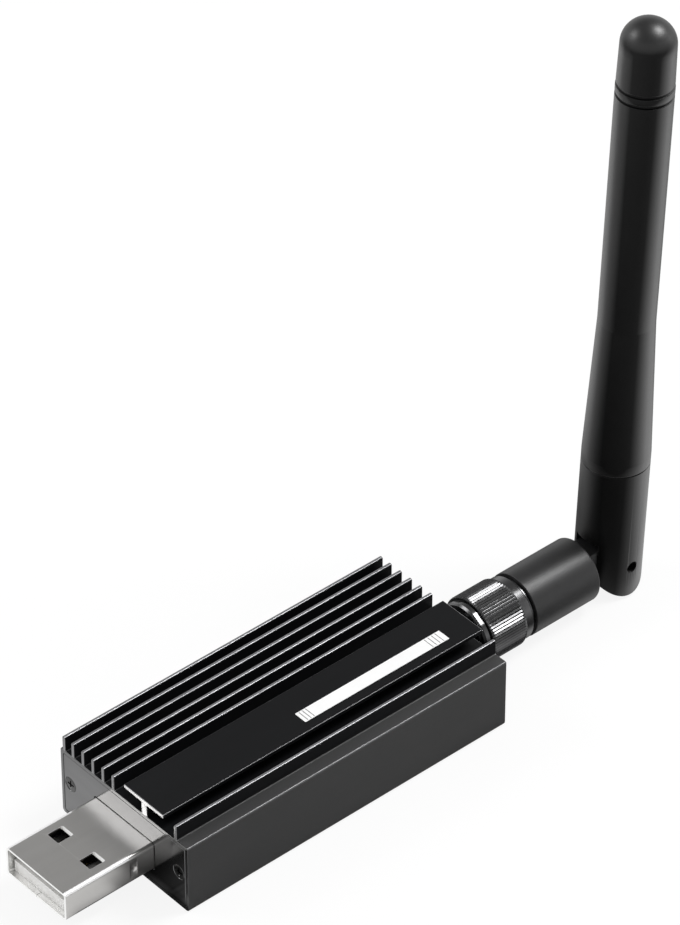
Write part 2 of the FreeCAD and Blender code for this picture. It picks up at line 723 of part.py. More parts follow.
def make_lock_washer():
    """The flat ring under the nut"""
    body = new_body("sma_lock_washer", "axis_height")
    ring = new_sketch(body, "ring", "XZ_Plane")
    outline(ring, rectangle(REAR, NUT_START, "jack_hole / 2", "washer_diameter / 2"))
    turned(body, "Revolution", ring)


def make_hex_nut():
    """The nut that clamps the jack to the rear plate"""
    body = new_body("sma_hex_nut", "axis_height")
    primitive(body, "AdditivePrism", "hexagon",
              {"Circumradius": "nut_flats / sqrt(3)", "Height": "nut_thickness"}, NUT_START,
              rotation=TURN_TO_X)
    primitive(body, "SubtractiveCylinder", "bore",
              {"Radius": "jack_hole / 2 - thread_gap", "Height": "nut_thickness"}, NUT_START,
              rotation=TURN_TO_X)


def turned_hexagon():
    """The outline of the hexagon, its points turned down to a diameter"""
    half_side = "sqrt(hexagon_diameter ^ 2 - hexagon_flats ^ 2) / 2"
    corners = []
    for flat in range(6):
        turn = math.radians(value("hexagon_turn") - 60 * flat)
        for side in (-1, 1):
            u = f"{-math.sin(turn):.9f} * hexagon_flats / 2 + {-side * math.cos(turn):.9f} * {half_side}"
            v = f"{math.cos(turn):.9f} * hexagon_flats / 2 + {-side * math.sin(turn):.9f} * {half_side}"
            corners.append((u, v) if side < 0 else (u, v, "hexagon_diameter / 2", 1))
    return corners


def make_coupling_nut():
    """The knurled nut of the antenna, with a short hexagon at its mouth"""
    body = new_body("coupling_nut", "axis_height")
    barrel = new_sketch(body, "barrel", "XZ_Plane")
    outer, end = "knurl_diameter / 2", "collar_diameter / 2"
    outline(barrel, [(KNURL_START, "0"), (COUPLING_END, "0"), (COUPLING_END, end), (KNURL_END, end),
                     (KNURL_END, outer), (KNURL_START, outer)])
    turned(body, "Revolution", barrel)
    groove = new_sketch(body, "knurl_groove", "YZ_Plane", KNURL_START)
    half, top = "(knurl_depth + knurl_overcut)", f"{outer} + knurl_overcut"
    outline(groove, [("0", f"{outer} - knurl_depth"), (half, top), (f"-{half}", top)])
    cut = extrude(body, "Pocket", groove, "knurl_length", towards_normal=True)
    knurl = body.newObject("PartDesign::PolarPattern", "knurl_pattern")
    knurl.Originals = [cut]
    knurl.Axis = (barrel, ["H_Axis"])
    knurl.Angle = 360
    knurl.setExpression("Occurrences", formula("knurl_count"))
    body.Tip = knurl
    hexagon = new_sketch(body, "hexagon", "YZ_Plane", COUPLING_START)
    outline(hexagon, turned_hexagon())
    extrude(body, "Pad", hexagon, "hexagon_length")
    primitive(body, "SubtractiveCylinder", "thread_bore",
              {"Radius": "coupling_bore / 2", "Height": "coupling_depth"}, COUPLING_START, rotation=TURN_TO_X)
    primitive(body, "SubtractiveCylinder", "ring_groove",
              {"Radius": "ring_outer / 2 + ring_gap", "Height": "ring_thickness + 2 * ring_gap"},
              f"{RING_START} - ring_gap", rotation=TURN_TO_X)
    rear_bore = {"Radius": "plug_body_diameter / 2 + swivel_gap",
                 "Height": f"{COUPLING_END} - {COUPLING_START}"}
    primitive(body, "SubtractiveCylinder", "rear_bore", rear_bore, COUPLING_START, rotation=TURN_TO_X)


def make_antenna_plug():
    """The turned plug body with its snap ring, insulator and centre pin"""
    body = new_body("antenna_plug_body", "axis_height")
    lathe = new_sketch(body, "lathe", "XZ_Plane")
    outer, bore = "plug_body_diameter / 2", "insulator_diameter / 2"
    cable_bore = "cable_diameter / 2 + thread_gap"
    ring_low, ring_high = f"{RING_START} - thread_gap", f"{RING_START} + ring_thickness + thread_gap"
    pocket_end = f"{COUPLING_END} - neck_gap"
    outline(lathe, [(JACK_FACE, bore), (pocket_end, bore), (pocket_end, cable_bore),
                    (f"{CATCH_START} + catch_length", cable_bore),
                    (f"{CATCH_START} + catch_length", "catch_diameter / 2"),
                    (CATCH_START, "catch_diameter / 2"), (CATCH_START, "shank_diameter / 2"),
                    (f"{NECK_START} + neck_length", "shank_diameter / 2"),
                    (f"{NECK_START} + neck_length", "neck_diameter / 2"), (NECK_START, "neck_diameter / 2"),
                    (NECK_START, outer), (ring_high, outer), (ring_high, "ring_inner / 2 - thread_gap"),
                    (ring_low, "ring_inner / 2 - thread_gap"), (ring_low, outer), (JACK_FACE, outer)])
    turned(body, "Revolution", lathe)

    insulator = new_body("antenna_plug_insulator", "axis_height")
    ring = new_sketch(insulator, "ring", "XZ_Plane")
    outline(ring, rectangle(JACK_FACE, pocket_end, "contact_diameter / 2", bore))
    turned(insulator, "Revolution", ring)

    pin = new_body("antenna_plug_pin", "axis_height")
    rod = new_sketch(pin, "rod", "XZ_Plane")
    tip = f"{JACK_FACE} - plug_pin_reach"
    outline(rod, [(tip, "0"), (pocket_end, "0"), (pocket_end, "contact_diameter / 2"),
                  (JACK_FACE, "contact_diameter / 2"), (JACK_FACE, "plug_pin_diameter / 2"),
                  (tip, "plug_pin_diameter / 2")])
    turned(pin, "Revolution", rod)

    snap_ring = new_body("retaining_ring", "axis_height")
    section = new_sketch(snap_ring, "section", "XZ_Plane")
    outline(section, rectangle(RING_START, f"{RING_START} + ring_thickness", "ring_inner / 2",
                               "ring_outer / 2"))
    turned(snap_ring, "Revolution", section)
    centred_box(snap_ring, "SubtractiveBox", "split", RING_START, "ring_thickness", "ring_split",
                "ring_outer", 0, "ring_outer / 2")


def make_swivel_barrel():
    """The plastic barrel that turns on the plug's shank and ends in the elbow's tongue"""
    body = new_body("swivel_barrel", "axis_height")
    lathe = new_sketch(body, "lathe", "XZ_Plane")
    outer = "barrel_diameter / 2"
    shank_bore, catch_bore = "shank_diameter / 2 + swivel_gap", "catch_diameter / 2 + swivel_gap"
    catch_low, catch_high = f"{CATCH_START} - swivel_gap", f"{CATCH_START} + catch_length + swivel_gap"
    outline(lathe, [(BARREL_START, shank_bore), (catch_low, shank_bore), (catch_low, catch_bore),
                    (catch_high, catch_bore), (catch_high, "0"), (BARREL_END, "0"),
                    (BARREL_END, outer), (BARREL_START, outer)])
    turned(body, "Revolution", lathe)
    centred_box(body, "AdditiveBox", "tongue", f"{BARREL_END} - joining_overlap",
                "elbow_distance + joining_overlap", "tongue_width", "tongue_height")
    primitive(body, "AdditiveCylinder", "tongue_end",
              {"Radius": "tongue_height / 2", "Height": "tongue_width"}, ELBOW, "-tongue_width / 2", 0,
              TURN_TO_Y)
    primitive(body, "SubtractiveCylinder", "pin_hole",
              {"Radius": "pin_diameter / 2 + pin_running_gap", "Height": "tongue_width"},
              ELBOW, "-tongue_width / 2", 0, TURN_TO_Y)
    primitive(body, "SubtractiveCylinder", "cable_bore",
              {"Radius": "cable_diameter / 2 + cable_gap", "Height": "barrel_length + elbow_distance"},
              BARREL_START, rotation=TURN_TO_X)
    passage = "cable_diameter + 2 * cable_gap"
    sizes = {"Length": "tongue_height", "Width": passage, "Height": "tongue_height"}
    primitive(body, "SubtractiveBox", "cable_slot", sizes, f"{ELBOW} - cable_diameter / 2 - cable_gap",
              f"-({passage}) / 2", "-cable_diameter / 2 - cable_gap")


def make_stick_knuckle():
    """The forked lower end of the stick, rounded about the elbow's pin"""
    body = new_body("stick_knuckle")
    lean(body)
    side = new_sketch(body, "side", "XZ_Plane")
    radius, wide = "(barrel_diameter / 2)", "(knuckle_stock / 2)"
    outline(side, [(f"-{radius}", "0", radius, 1), ("0", f"-{radius}", radius, 1), (radius, "0"), (wide, "0"),
                   (wide, "seam_level"), (f"-{wide}", "seam_level"), (f"-{wide}", "0")])
    extrude(body, "Pad", side, "knuckle_stock", both_ways=True)
    lathe = new_sketch(body, "lathe", "XZ_Plane")
    above = "seam_level + joining_overlap"
    outline(lathe, [(radius, "-barrel_diameter"), ("barrel_diameter", "-barrel_diameter"),
                    ("barrel_diameter", above), (f"{radius} - seam_bevel - joining_overlap", above),
                    (radius, "seam_level - seam_bevel")])
    turned(body, "Groove", lathe, "V_Axis")
    primitive(body, "AdditiveCylinder", "spigot",
              {"Radius": "spigot_diameter / 2", "Height": "spigot_length + joining_overlap"},
              z="seam_level - joining_overlap")
    slot = {"Length": "barrel_diameter + fork_back", "Width": "tongue_width + 2 * fork_gap",
            "Height": "barrel_diameter + fork_roof"}
    primitive(body, "SubtractiveBox", "fork_slot", slot, "-barrel_diameter", "-tongue_width / 2 - fork_gap",
              "-barrel_diameter")
    primitive(body, "SubtractiveCylinder", "pin_hole",
              {"Radius": "pin_diameter / 2 + pin_fixed_gap", "Height": "knuckle_stock"},
              0, "-knuckle_stock / 2", 0, TURN_TO_Y)
    primitive(body, "SubtractiveCylinder", "cable_bore",
              {"Radius": "cable_diameter / 2 + cable_gap", "Height": "seam_level + spigot_length"})


def make_hinge_pins():
    """Two short pins, one in each ear, that leave the middle free for the cable"""
    pins = []
    length = "(barrel_diameter / 2 - pin_recess - pin_core)"
    for name, start in (("left", "pin_core"), ("right", f"-pin_core - {length}")):
        pin = doc.addObject("Part::Cylinder", f"hinge_pin_{name}")
        pin.setExpression("Radius", formula("pin_diameter / 2"))
        pin.setExpression("Height", formula(length))
        place(pin, 0, start, 0, TURN_TO_Y)
        pins.append(pin)
    lean(group("hinge_pins", pins))


def make_antenna_sleeve():
    """The tapered tube of the stick, with two ring grooves, a slimmer cap and a dome"""
    body = new_body("antenna_sleeve")
    lean(body)
    lathe = new_sketch(body, "lathe", "XZ_Plane")
    foot, upper, cap = "barrel_diameter / 2", "(stick_diameter / 2)", "(cap_diameter / 2)"
    bore, socket = f"({upper} - stick_wall)", "(spigot_diameter / 2 + spigot_gap)"
    socket_end = "(seam_level + spigot_length + spigot_gap)"
    tip = "(dome_start + dome_height)"
    corners = [(socket, "seam_level"), (f"{foot} - seam_bevel", "seam_level"),
               (foot, "seam_level + seam_bevel"), (foot, "taper_start"), (upper, "taper_end")]
    for level in ("ring_groove_first", "ring_groove_second"):
        corners += [(upper, level), (f"{upper} - ring_groove_depth", f"{level} + ring_groove_width / 2"),
                    (upper, f"{level} + ring_groove_width")]
    corners += [(upper, "cap_start"), (cap, "cap_start"),
                (cap, "dome_start", crown_radius(cap, "dome_height"), 1), ("0", tip),
                ("0", "dome_start"), (bore, "dome_start"), (bore, socket_end),
                (socket, socket_end)]
    outline(lathe, corners)
    turned(body, "Revolution", lathe, "V_Axis")


def make_feed_and_radiator():
    """The coaxial cable's two stretches, and the dipole's sleeve and wire"""
    lower = doc.addObject("Part::Cylinder", "feed_cable_lower")
    start = f"({COUPLING_END} - neck_gap)"
    lower.setExpression("Radius", formula("cable_diameter / 2"))
    lower.setExpression("Height", formula(f"{ELBOW} - cable_diameter - {start}"))
    place(lower, start, 0, "axis_height", TURN_TO_X)
    keep(lower, "feed_cable_lower")

    upper = new_body("feed_cable_upper")
    lean(upper)
    primitive(upper, "AdditiveCylinder", "run",
              {"Radius": "cable_diameter / 2",
               "Height": "radiator_start + radiator_length - radiator_wall - cable_diameter"},
              z="cable_diameter")

    radiator = new_body("radiator_sleeve")
    lean(radiator)
    section = new_sketch(radiator, "section", "XZ_Plane")
    outer, inner, centre = "radiator_diameter / 2", "radiator_diameter / 2 - radiator_wall", "0"
    end = "radiator_start + radiator_length"
    outline(section, [(inner, "radiator_start"), (outer, "radiator_start"), (outer, end), (centre, end),
                      (centre, f"{end} - radiator_wall"), (inner, f"{end} - radiator_wall")])
    turned(radiator, "Revolution", section, "V_Axis")

    whip = new_body("radiator_whip")
    lean(whip)
    primitive(whip, "AdditiveCylinder", "wire", {"Radius": "whip_diameter / 2", "Height": "whip_length"},
              z="radiator_start + radiator_length")


def make_label():
    """The strip on top of the platform"""
    centre = f"{REAR} - label_rear_inset - label_length / 2"
    keep(solid_box("label_strip", centre, "label_centre", PLATFORM_TOP, "label_length", "label_width",
                   "label_thickness"), "label_strip")


def build():
    """Make every sub-part, in the order in which the stick is put together"""
    make_housing()
    make_end_plate("front_end_plate", FRONT, True, plug_opening)
    make_end_plate("rear_end_plate", REAR, False, jack_opening)
    make_screws("front_plate_screws", FRONT, "")
    make_screws("rear_plate_screws", REAR, "-")
    make_usb_shell()
    make_usb_insulator()
    make_usb_contacts()
    make_circuit_board()
    make_board_parts()
    make_jack()
    make_lock_washer()
    make_hex_nut()
    make_label()
    make_coupling_nut()
    make_antenna_plug()
    make_swivel_barrel()
    make_stick_knuckle()
    make_hinge_pins()
    make_antenna_sleeve()
    make_feed_and_radiator()
    doc.recompute()


def export():
    """Check every object of the document, then write each sub-part to its own file"""
    for item in doc.Objects:
        if "Invalid" in item.State or "Error" in item.State:
            raise RuntimeError(f"{item.Label} could not be built: {item.State}")
    for node in nodes:
        if node.Shape.isNull() or not node.Shape.isValid() or not node.Shape.Solids:
            raise RuntimeError(f"{node.Label} has no valid solid")
    os.makedirs("parts", exist_ok=True)
    for node in nodes:
        node.Shape.exportStep(f"parts/{node.Label}.step")
        print(f"{node.Label}: {len(node.Shape.Solids)} solid(s), {node.Shape.Volume:.2f} mm3")


build()
export()
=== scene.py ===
# Looks of the finned USB radio stick: housing, plug, coupling and folding antenna.
# Sizes are millimetres in the frame's own places; make_piece turns them into metres.
import math

import bmesh
import bpy
from mathutils import Matrix, Vector


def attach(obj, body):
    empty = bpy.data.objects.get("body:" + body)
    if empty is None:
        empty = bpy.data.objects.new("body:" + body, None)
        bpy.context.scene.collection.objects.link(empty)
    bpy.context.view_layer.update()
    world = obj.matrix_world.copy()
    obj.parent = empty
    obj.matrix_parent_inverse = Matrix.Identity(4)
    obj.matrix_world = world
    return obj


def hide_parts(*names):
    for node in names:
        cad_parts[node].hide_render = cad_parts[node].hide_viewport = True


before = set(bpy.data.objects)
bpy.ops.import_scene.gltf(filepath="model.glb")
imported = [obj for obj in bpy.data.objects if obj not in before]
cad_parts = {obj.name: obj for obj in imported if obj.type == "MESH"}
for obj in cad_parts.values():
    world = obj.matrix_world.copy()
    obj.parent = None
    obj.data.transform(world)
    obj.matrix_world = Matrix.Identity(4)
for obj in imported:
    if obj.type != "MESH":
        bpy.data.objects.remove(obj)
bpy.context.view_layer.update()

MM = 0.001
ALONG, ACROSS, UP = (1, 0, 0), (0, 1, 0), (0, 0, 1)

# Camera of the photograph
VIEW_BACK = Vector((-0.5079, -0.5822, 0.6349))
VIEW_RIGHT = Vector((0.7535, -0.6574, 0.0))
VIEW_AIM = Vector((20.105, 12.278, 33.143))
VIEW_DISTANCE = 766.154
LENS = 228.7
SENSOR_HEIGHT = 36.0

# Housing
FRONT, REAR = -27.25, 27.25
HALF_WIDTH = 12.75
DECK = 11.0
FIN_TOP = 13.3
FIN_THICKNESS = 0.55
FIN_SIDES = [11.73, 9.92, 7.89, 5.86, 3.83, 1.8]
LONE_FIN_SIDE = -10.6
PLATFORM_LEFT, PLATFORM_RIGHT = -0.2, -8.0
PLATFORM_TOP, PLATFORM_UNDER = 13.5, 12.9
WEB_LEFT, WEB_RIGHT = -3.65, -4.75
SAW_CUT = [(0, 0.08), (0.024, 0.024), (0.08, 0)]
HOUSING_FINISHES = ["anodised_housing", "bright_crown", "milled_end", "anodised_side", "shoulder_satin",
    "end_plate_metal", "fin_end", "dull_edge"]

# End plates and their screws
PLATE_THICKNESS = 1.2
RIM = 0.55
PLATE_GAP = 0.05
SCREW_SIDE, SCREW_LEVEL = 10.9, 5.8
CHANNEL_RADIUS = 0.72

# USB plug, with latch windows in a panel and a dimple in each side
PLUG_TIP, PLUG_BACK = -41.75, -23.0
PLUG_HALF_WIDTH = 6.0
PLUG_LOW, PLUG_HIGH = 2.7, 7.2
PLUG_WALL = 0.32
PLUG_RADIUS = 0.55
PLUG_LEVEL = 4.95
MOUTH_END = -40.2
PANEL_FROM, PANEL_TO = -37.0, -33.6
WINDOW_NEAR, WINDOW_FAR = -36.35, -34.12
WINDOW_SIDE, WINDOW_HALF, WINDOW_CORNER = 3.2, 1.1, 0.18
DIMPLE_FROM, DIMPLE_AT, DIMPLE_TO = -31.3, -30.65, -30.0
SHELL_FINISHES = ["nickel_plate", "mouth_lip", "folded_edge", "window_edge"]

# Coaxial line: jack, coupling and swivel share one axis
AXIS_HEIGHT = 5.1
LINE_BORE, LINE_CORE = 2.05, 2.8
BLOCK_START, BLOCK_END = 23.05, 26.05
WASHER_END, NUT_END = 27.85, 29.85
JACK_FACE = 36.0
COUPLING_START, KNURL_START, KNURL_END, COUPLING_END = 31.25, 32.35, 38.35, 39.8
THREAD_BORE, COUPLING_THROAT = 3.2, 2.86
KNURL_RIBS, KNURL_FOOT, KNURL_CREST = 72, 4.76, 5.0
NECK_START, NECK_END = 39.88, 40.38
BARREL_START, BARREL_END = 40.4, 51.95
CABLE_HOLE = 0.695
ELBOW = 57.65
LEAN = 2.6
SEAM = 16.0
SLEEVE_BORE = 2.5

ON_AXIS = Matrix.Translation((0, 0, AXIS_HEIGHT))
ALONG_X = ON_AXIS @ Matrix.Rotation(math.radians(90), 4, "Y")
ON_ELBOW = Matrix.Translation((ELBOW, 0, AXIS_HEIGHT)) @ Matrix.Rotation(math.radians(LEAN), 4, "Y")

# Finishes: dark tone, light tone, range of roughness, size of the clouds, size and depth of the grain, share
# of metal, and what is special. A tone of one number is a grey. Edge wear and sheen is how far it reaches
# from an edge, its tone and its share, a lighter edge that is partly real wear and partly a painted
# highlight; a speck is its size, its tone and its share.
FINISHES = {
    "anodised_housing": ((0.0045, 0.0047, 0.0054), (0.0065, 0.0068, 0.0078), (0.34, 0.46), 9, 0.09, 0.0012, 0,
        {"specular": 0.17, "stretch": (6, 1, 1), "edge_wear_and_sheen": (0.09, (0.20, 0.20, 0.205), 0.5)}),
    # Side walls and the shoulder beside the lone fin: the anodising in a lighter tone, painted light.
    "anodised_side": ((0.046, 0.046, 0.0465), 0.054, (0.30, 0.40), 14, 0.09, 0.001, 0,
        {"specular": 0.4, "stretch": (6, 1, 1), "edge_wear_and_sheen": (0.09, 0.22, 0.5)}),
    "shoulder_satin": ((0.042, 0.042, 0.043), 0.056, (0.35, 0.5), 9, 0.09, 0.0012, 0,
        {"specular": 0.4, "stretch": (6, 1, 1)}),
    # Fin crowns, eased edges and the cut ends of fins and platform: lighter metal where light catches them,
    # painted highlights.
    "bright_crown": ((0.23, 0.23, 0.24), (0.31, 0.31, 0.32), (0.3, 0.4), 3, 0.08, 0.0003, 0.7,
        {"stretch": (8, 1, 1)}),
    "dull_edge": ((0.09, 0.09, 0.094), (0.14, 0.14, 0.144), (0.3, 0.42), 3, 0.08, 0.0003, 0.7,
        {"stretch": (8, 1, 1)}),
    "fin_end": ((0.23, 0.23, 0.235), (0.29, 0.29, 0.295), (0.3, 0.4), 2, 0.05, 0.0008, 1,
        {"stretch": (1, 1, 7)}),
    "milled_end": ((0.42, 0.42, 0.43), (0.55, 0.55, 0.56), (0.2, 0.34), 2, 0.05, 0.0008, 1,
        {"stretch": (1, 1, 7)}),
    "end_plate_metal": ((0.15, 0.15, 0.152), (0.19, 0.19, 0.192), (0.10, 0.17), 6, 0.05, 0.0004, 1,
        {"stretch": (1, 7, 1), "edge_wear_and_sheen": (0.08, 0.35, 0.6)}),
    "black_screw_steel": (0.05, 0.10, (0.2, 0.35), 0.8, 0.05, 0.001, 1, {"edge_wear_and_sheen": (0.05, 0.26, 0.6)}),
    "nickel_plate": ((0.64, 0.63, 0.61), (0.71, 0.70, 0.685), (0.29, 0.34), 4, 0.045, 0.00015, 1,
        {"stretch": (9, 1, 1), "edge_wear_and_sheen": (0.14, 0.94, 1.0)}),
    # Mouth, folds and window walls of the shell: whiter than the nickel, painted highlights.
    "mouth_lip": ((0.90, 0.90, 0.89), (0.95, 0.95, 0.94), (0.3, 0.4), 2, 0.05, 0.0003, 1, {}),
    "folded_edge": (0.90, 0.95, (0.38, 0.46), 4, 0.045, 0.00015, 0.4, {"stretch": (9, 1, 1)}),
    "window_edge": ((0.86, 0.86, 0.85), (0.94, 0.94, 0.93), (0.4, 0.5), 2, 0.05, 0.0003, 0, {}),
    "plug_plastic": ((0.86, 0.85, 0.83), (0.92, 0.915, 0.90), (0.38, 0.5), 3, 0.1, 0.002, 0, {}),
    "contact_gold": ((0.78, 0.53, 0.20), (0.92, 0.68, 0.30), (0.18, 0.3), 1.5, 0.05, 0.0006, 1,
        {"stretch": (8, 1, 1)}),
    "chip_epoxy": (0.012, 0.022, (0.5, 0.7), 1, 0.05, 0.003, 0, {"edge_wear_and_sheen": (0.06, 0.08, 0.6)}),
    "crystal_can": ((0.55, 0.54, 0.52), (0.68, 0.67, 0.65), (0.2, 0.36), 0.8, 0.04, 0.0008, 1,
        {"edge_wear_and_sheen": (0.06, 0.85, 0.8)}),
    "capacitor_ceramic": ((0.33, 0.22, 0.12), (0.45, 0.31, 0.18), (0.4, 0.6), 0.5, 0.06, 0.003, 0,
        {"speck": (0.07, (0.2, 0.12, 0.06), 0.5)}),
    "resistor_ceramic": ((0.015, 0.015, 0.017), (0.03, 0.03, 0.033), (0.3, 0.5), 0.4, 0.05, 0.002, 0,
        {"edge_wear_and_sheen": (0.06, (0.6, 0.6, 0.58), 0.7)}),
    "gold_brass": ((0.72, 0.47, 0.17), (0.85, 0.60, 0.25), (0.2, 0.34), 2, 0.05, 0.001, 1,
        {"edge_wear_and_sheen": (0.1, (0.95, 0.78, 0.45), 0.7)}),
    "white_insulator": ((0.74, 0.74, 0.72), (0.82, 0.82, 0.80), (0.45, 0.6), 2, 0.12, 0.003, 0, {}),
    "label_film": (0.86, 0.91, (0.35, 0.5), 6, 0.08, 0.0006, 0, {"specular": 0.3}),
    "label_print": (0.16, 0.26, (0.4, 0.6), 0.4, 0.06, 0.0004, 0, {"specular": 0.3}),
    "black_nickel": ((0.085, 0.085, 0.088), (0.12, 0.12, 0.123), (0.18, 0.28), 3, 0.05, 0.0004, 1,
        {"edge_wear_and_sheen": (0.05, (0.30, 0.30, 0.31), 0.5)}),
    "knurl_nickel": ((0.10, 0.10, 0.102), (0.13, 0.13, 0.132), (0.2, 0.26), 3, 0.05, 0.0002, 1,
        {"edge_wear_and_sheen": (0.03, (0.25, 0.25, 0.255), 0.3)}),
    "spring_bronze": ((0.45, 0.27, 0.13), (0.6, 0.38, 0.2), (0.25, 0.4), 1, 0.05, 0.001, 1, {}),
    "antenna_plastic": ((0.011, 0.011, 0.0115), (0.016, 0.016, 0.0165), (0.37, 0.47), 4, 0.14, 0.004, 0,
        {"specular": 0.57, "edge_wear_and_sheen": (0.25, 0.06, 0.6)}),
    "pin_steel": (0.10, 0.2, (0.25, 0.4), 0.6, 0.05, 0.001, 1, {"edge_wear_and_sheen": (0.1, 0.5, 0.8)}),
    "antenna_rubber": ((0.0012, 0.0012, 0.0013), (0.0022, 0.0022, 0.0023), (0.36, 0.46), 6, 0.16, 0.004, 0,
        {"edge_wear_and_sheen": (0.2, 0.02, 0.5)}),
    "stick_foot_plastic": (0.0008, (0.0016, 0.0016, 0.0017), (0.34, 0.44), 4, 0.14, 0.004, 0,
        {"edge_wear_and_sheen": (0.2, 0.02, 0.5)}),
    "cable_jacket": ((0.30, 0.16, 0.08), (0.38, 0.22, 0.11), (0.3, 0.45), 1.5, 0.1, 0.002, 0, {}),
    "copper_wire": ((0.72, 0.34, 0.20), (0.85, 0.45, 0.28), (0.2, 0.36), 1.5, 0.05, 0.001, 1, {}),
    "board_laminate": ((0.008, 0.075, 0.032), (0.012, 0.10, 0.042), (0.25, 0.4), 3, 0.3, 0.004, 0, {}),
}

# Gloss of the stick's dark plastics, seen face on and along them. On the dome it goes over to another gloss
# between two heights.
FACING_GLOSS, GRAZING_GLOSS = 0.2, 2.2
DOME_FACING = (FACING_GLOSS, 0.85, 88.0 * MM, 89.3 * MM)
DOME_GRAZING = (GRAZING_GLOSS, 0.8, 86.6 * MM, 88.2 * MM)

# Finishes of the frame's own nodes
CARRIED_OVER = {
    "board_laminate": ["circuit_board"],
    "chip_epoxy": ["radio_chip", "usb_serial_chip", "voltage_regulator", "esd_array"],
    "crystal_can": ["radio_crystal", "clock_crystal"],
    "capacitor_ceramic": ["ceramic_capacitors"],
    "resistor_ceramic": ["chip_resistors", "rf_inductors"],
    "white_insulator": ["sma_jack_insulator", "antenna_plug_insulator"],
    "contact_gold": ["sma_jack_contact", "antenna_plug_pin"],
    "spring_bronze": ["retaining_ring"],
    "cable_jacket": ["feed_cable_lower", "feed_cable_upper"],
    "gold_brass": ["radiator_sleeve"],
    "copper_wire": ["radiator_whip"],
}

# Patches where the floor's glow, as glossy pieces see it, is dimmed: painted shade. Each is a product of
# rows: a way, how much the patch dims at two places along it, and those places.
PAINTED_SHADE_PATCHES = {
    "in front": [
        (ACROSS, 0, 0.9, -5, -9), (ALONG, 0, 1, -29, -27.8), (ALONG, 1, 0.15, 45, 85),
        (ACROSS, 1, 0.55, -30, -46)],
    "at the left": [(ACROSS, 0, 1, 2, 10), ((1, 1, 0), 0, 1, -15, 5), ((1, 0.3, 0), 0.78, 0, 36, 56)],
    "beside the elbow": [(ACROSS, 0, 0.85, 2, 10), (ALONG, 0, 1, 30, 45), (ACROSS, 1, 0.2, 24, 45)],
    "beside the plug": [
        (ACROSS, 0.25, 0.9, -9.2, -8), (ALONG, 0, 1, -42, -38), (ACROSS, 1, 0, -1, 2),
        (ALONG, 1, 0, -28.5, -26.5)],
    "at the plate": [
        (ALONG, 0, 0.8, -32.1, -30.8), (ALONG, 1, 0, -28.5, -26.5), (ACROSS, 0, 1, -11.8, -10),
        (ACROSS, 1, 0, -8.8, -7.6)],
    "far right": [(ACROSS, 0, 0.15, -30, -50)],
}


def node(owner, kind, *sources, **named):
    """Add a node and give its outputs; capitals name its sockets, with _ for a space, the rest is settings"""
    tree = getattr(owner, "node_tree", owner)
    made = tree.nodes.new(kind if kind.startswith(("Geometry", "NodeGroup")) else f"ShaderNode{kind}")
    for key, source in named.items():
        if key.islower():
            setattr(made, key, source)
        else:
            feed(made.inputs[key.replace("_", " ")], source)
    for socket, source in zip(made.inputs, sources):
        feed(socket, source)
    return made.outputs


def feed(socket, source):
    """Link a socket to a source, or set its number"""
    if isinstance(source, bpy.types.NodeSocket):
        socket.id_data.links.new(source, socket)
    else:
        socket.default_value = source


def calculate(operation, first, second):
    """What an operation makes of a socket and a number"""
    return node(first.id_data, "Math", first, second, operation=operation)["Value"]


def reach(vector, way):
    """How far a vector reaches along a way"""
    return node(vector.id_data, "VectorMath", vector, way, operation="DOT_PRODUCT")["Value"]


def spread(source, low, high, start=0.3, stop=0.7):
    """Map a source, as it goes from start to stop, onto the range from low to high"""
    return node(source.id_data, "MapRange", source, start, stop, low, high)[0]


def tint(tone):
    """A colour from its three parts, or a grey from one"""
    return (*tone, 1) if isinstance(tone, tuple) else (tone, tone, tone, 1)


def blend(share, first, second):
    """Go from a first colour to a second one by a share"""
    return node(share.id_data, "MixRGB", share, first, second)["Color"]


def places(finish):
    """Where the points of a piece lie, in metres"""
    return node(finish, "TexCoord")["Object"]


def pattern(finish, size, stretch=(1, 1, 1), detail=3.0):
    """Noise with grains of a size in millimetres, drawn out along an axis by its stretch"""
    scale = [1 / (size * pull * MM) for pull in stretch]
    placed = node(finish, "Mapping", Vector=places(finish), Scale=scale)["Vector"]
    return node(finish, "TexNoise", Vector=placed, Scale=1.0, Detail=detail, Roughness=0.6)[0]


def shader(finish):
    """The sockets of a finish's own shader"""
    return finish.node_tree.nodes["Principled BSDF"].inputs


def repaint(finish, share, tone):
    """Go from the colour that a finish has to a tone, by a share"""
    base = shader(finish)["Base Color"]
    feed(base, blend(share, base.links[0].from_socket, tint(tone)))


def relief(finish, source, depth):
    """Raise the surface by a source, to a depth in millimetres, on top of the relief that it has"""
    normal = shader(finish)["Normal"]
    below = {"Normal": link.from_socket for link in normal.links}
    feed(normal, node(finish, "Bump", Height=source, Distance=depth * MM, Strength=1.0, **below)["Normal"])


def worn_and_sheen_share(finish, radius, source):
    """How worn a point is, and how far a painted edge highlight lights it: it lies within a radius in
    millimetres of an edge, broken up by a source
    """
    eased = node(finish, "Bevel", samples=6, Radius=radius * MM)["Normal"]
    agreeing = reach(eased, node(finish, "NewGeometry")["Normal"])
    return calculate("MULTIPLY", spread(agreeing, 1, 0, 0.86, 0.995), source)


def paint_deep_shade(finish, depth):
    """Paint shade on places behind the mouth where they lie within a depth in millimetres of other surfaces
    """
    open_share = node(finish, "AmbientOcclusion", samples=8, Distance=depth * MM)["AO"]
    along = reach(places(finish), ALONG)
    behind_mouth = spread(along, 0, 1, MOUTH_END * MM, (MOUTH_END + 1.2) * MM)
    deep = calculate("MINIMUM", spread(open_share, 1, 0, 0.35, 0.85), behind_mouth)
    repaint(finish, deep, 0.004)


def gloss_at_edges(finish, facing_on, grazing):
    """Make the gloss grow from a surface seen face on to one seen along it"""
    turned_away = node(finish, "LayerWeight", Blend=0.5)["Facing"]
    feed(shader(finish)["Specular IOR Level"], spread(turned_away, facing_on, grazing, 0.25, 0.55))


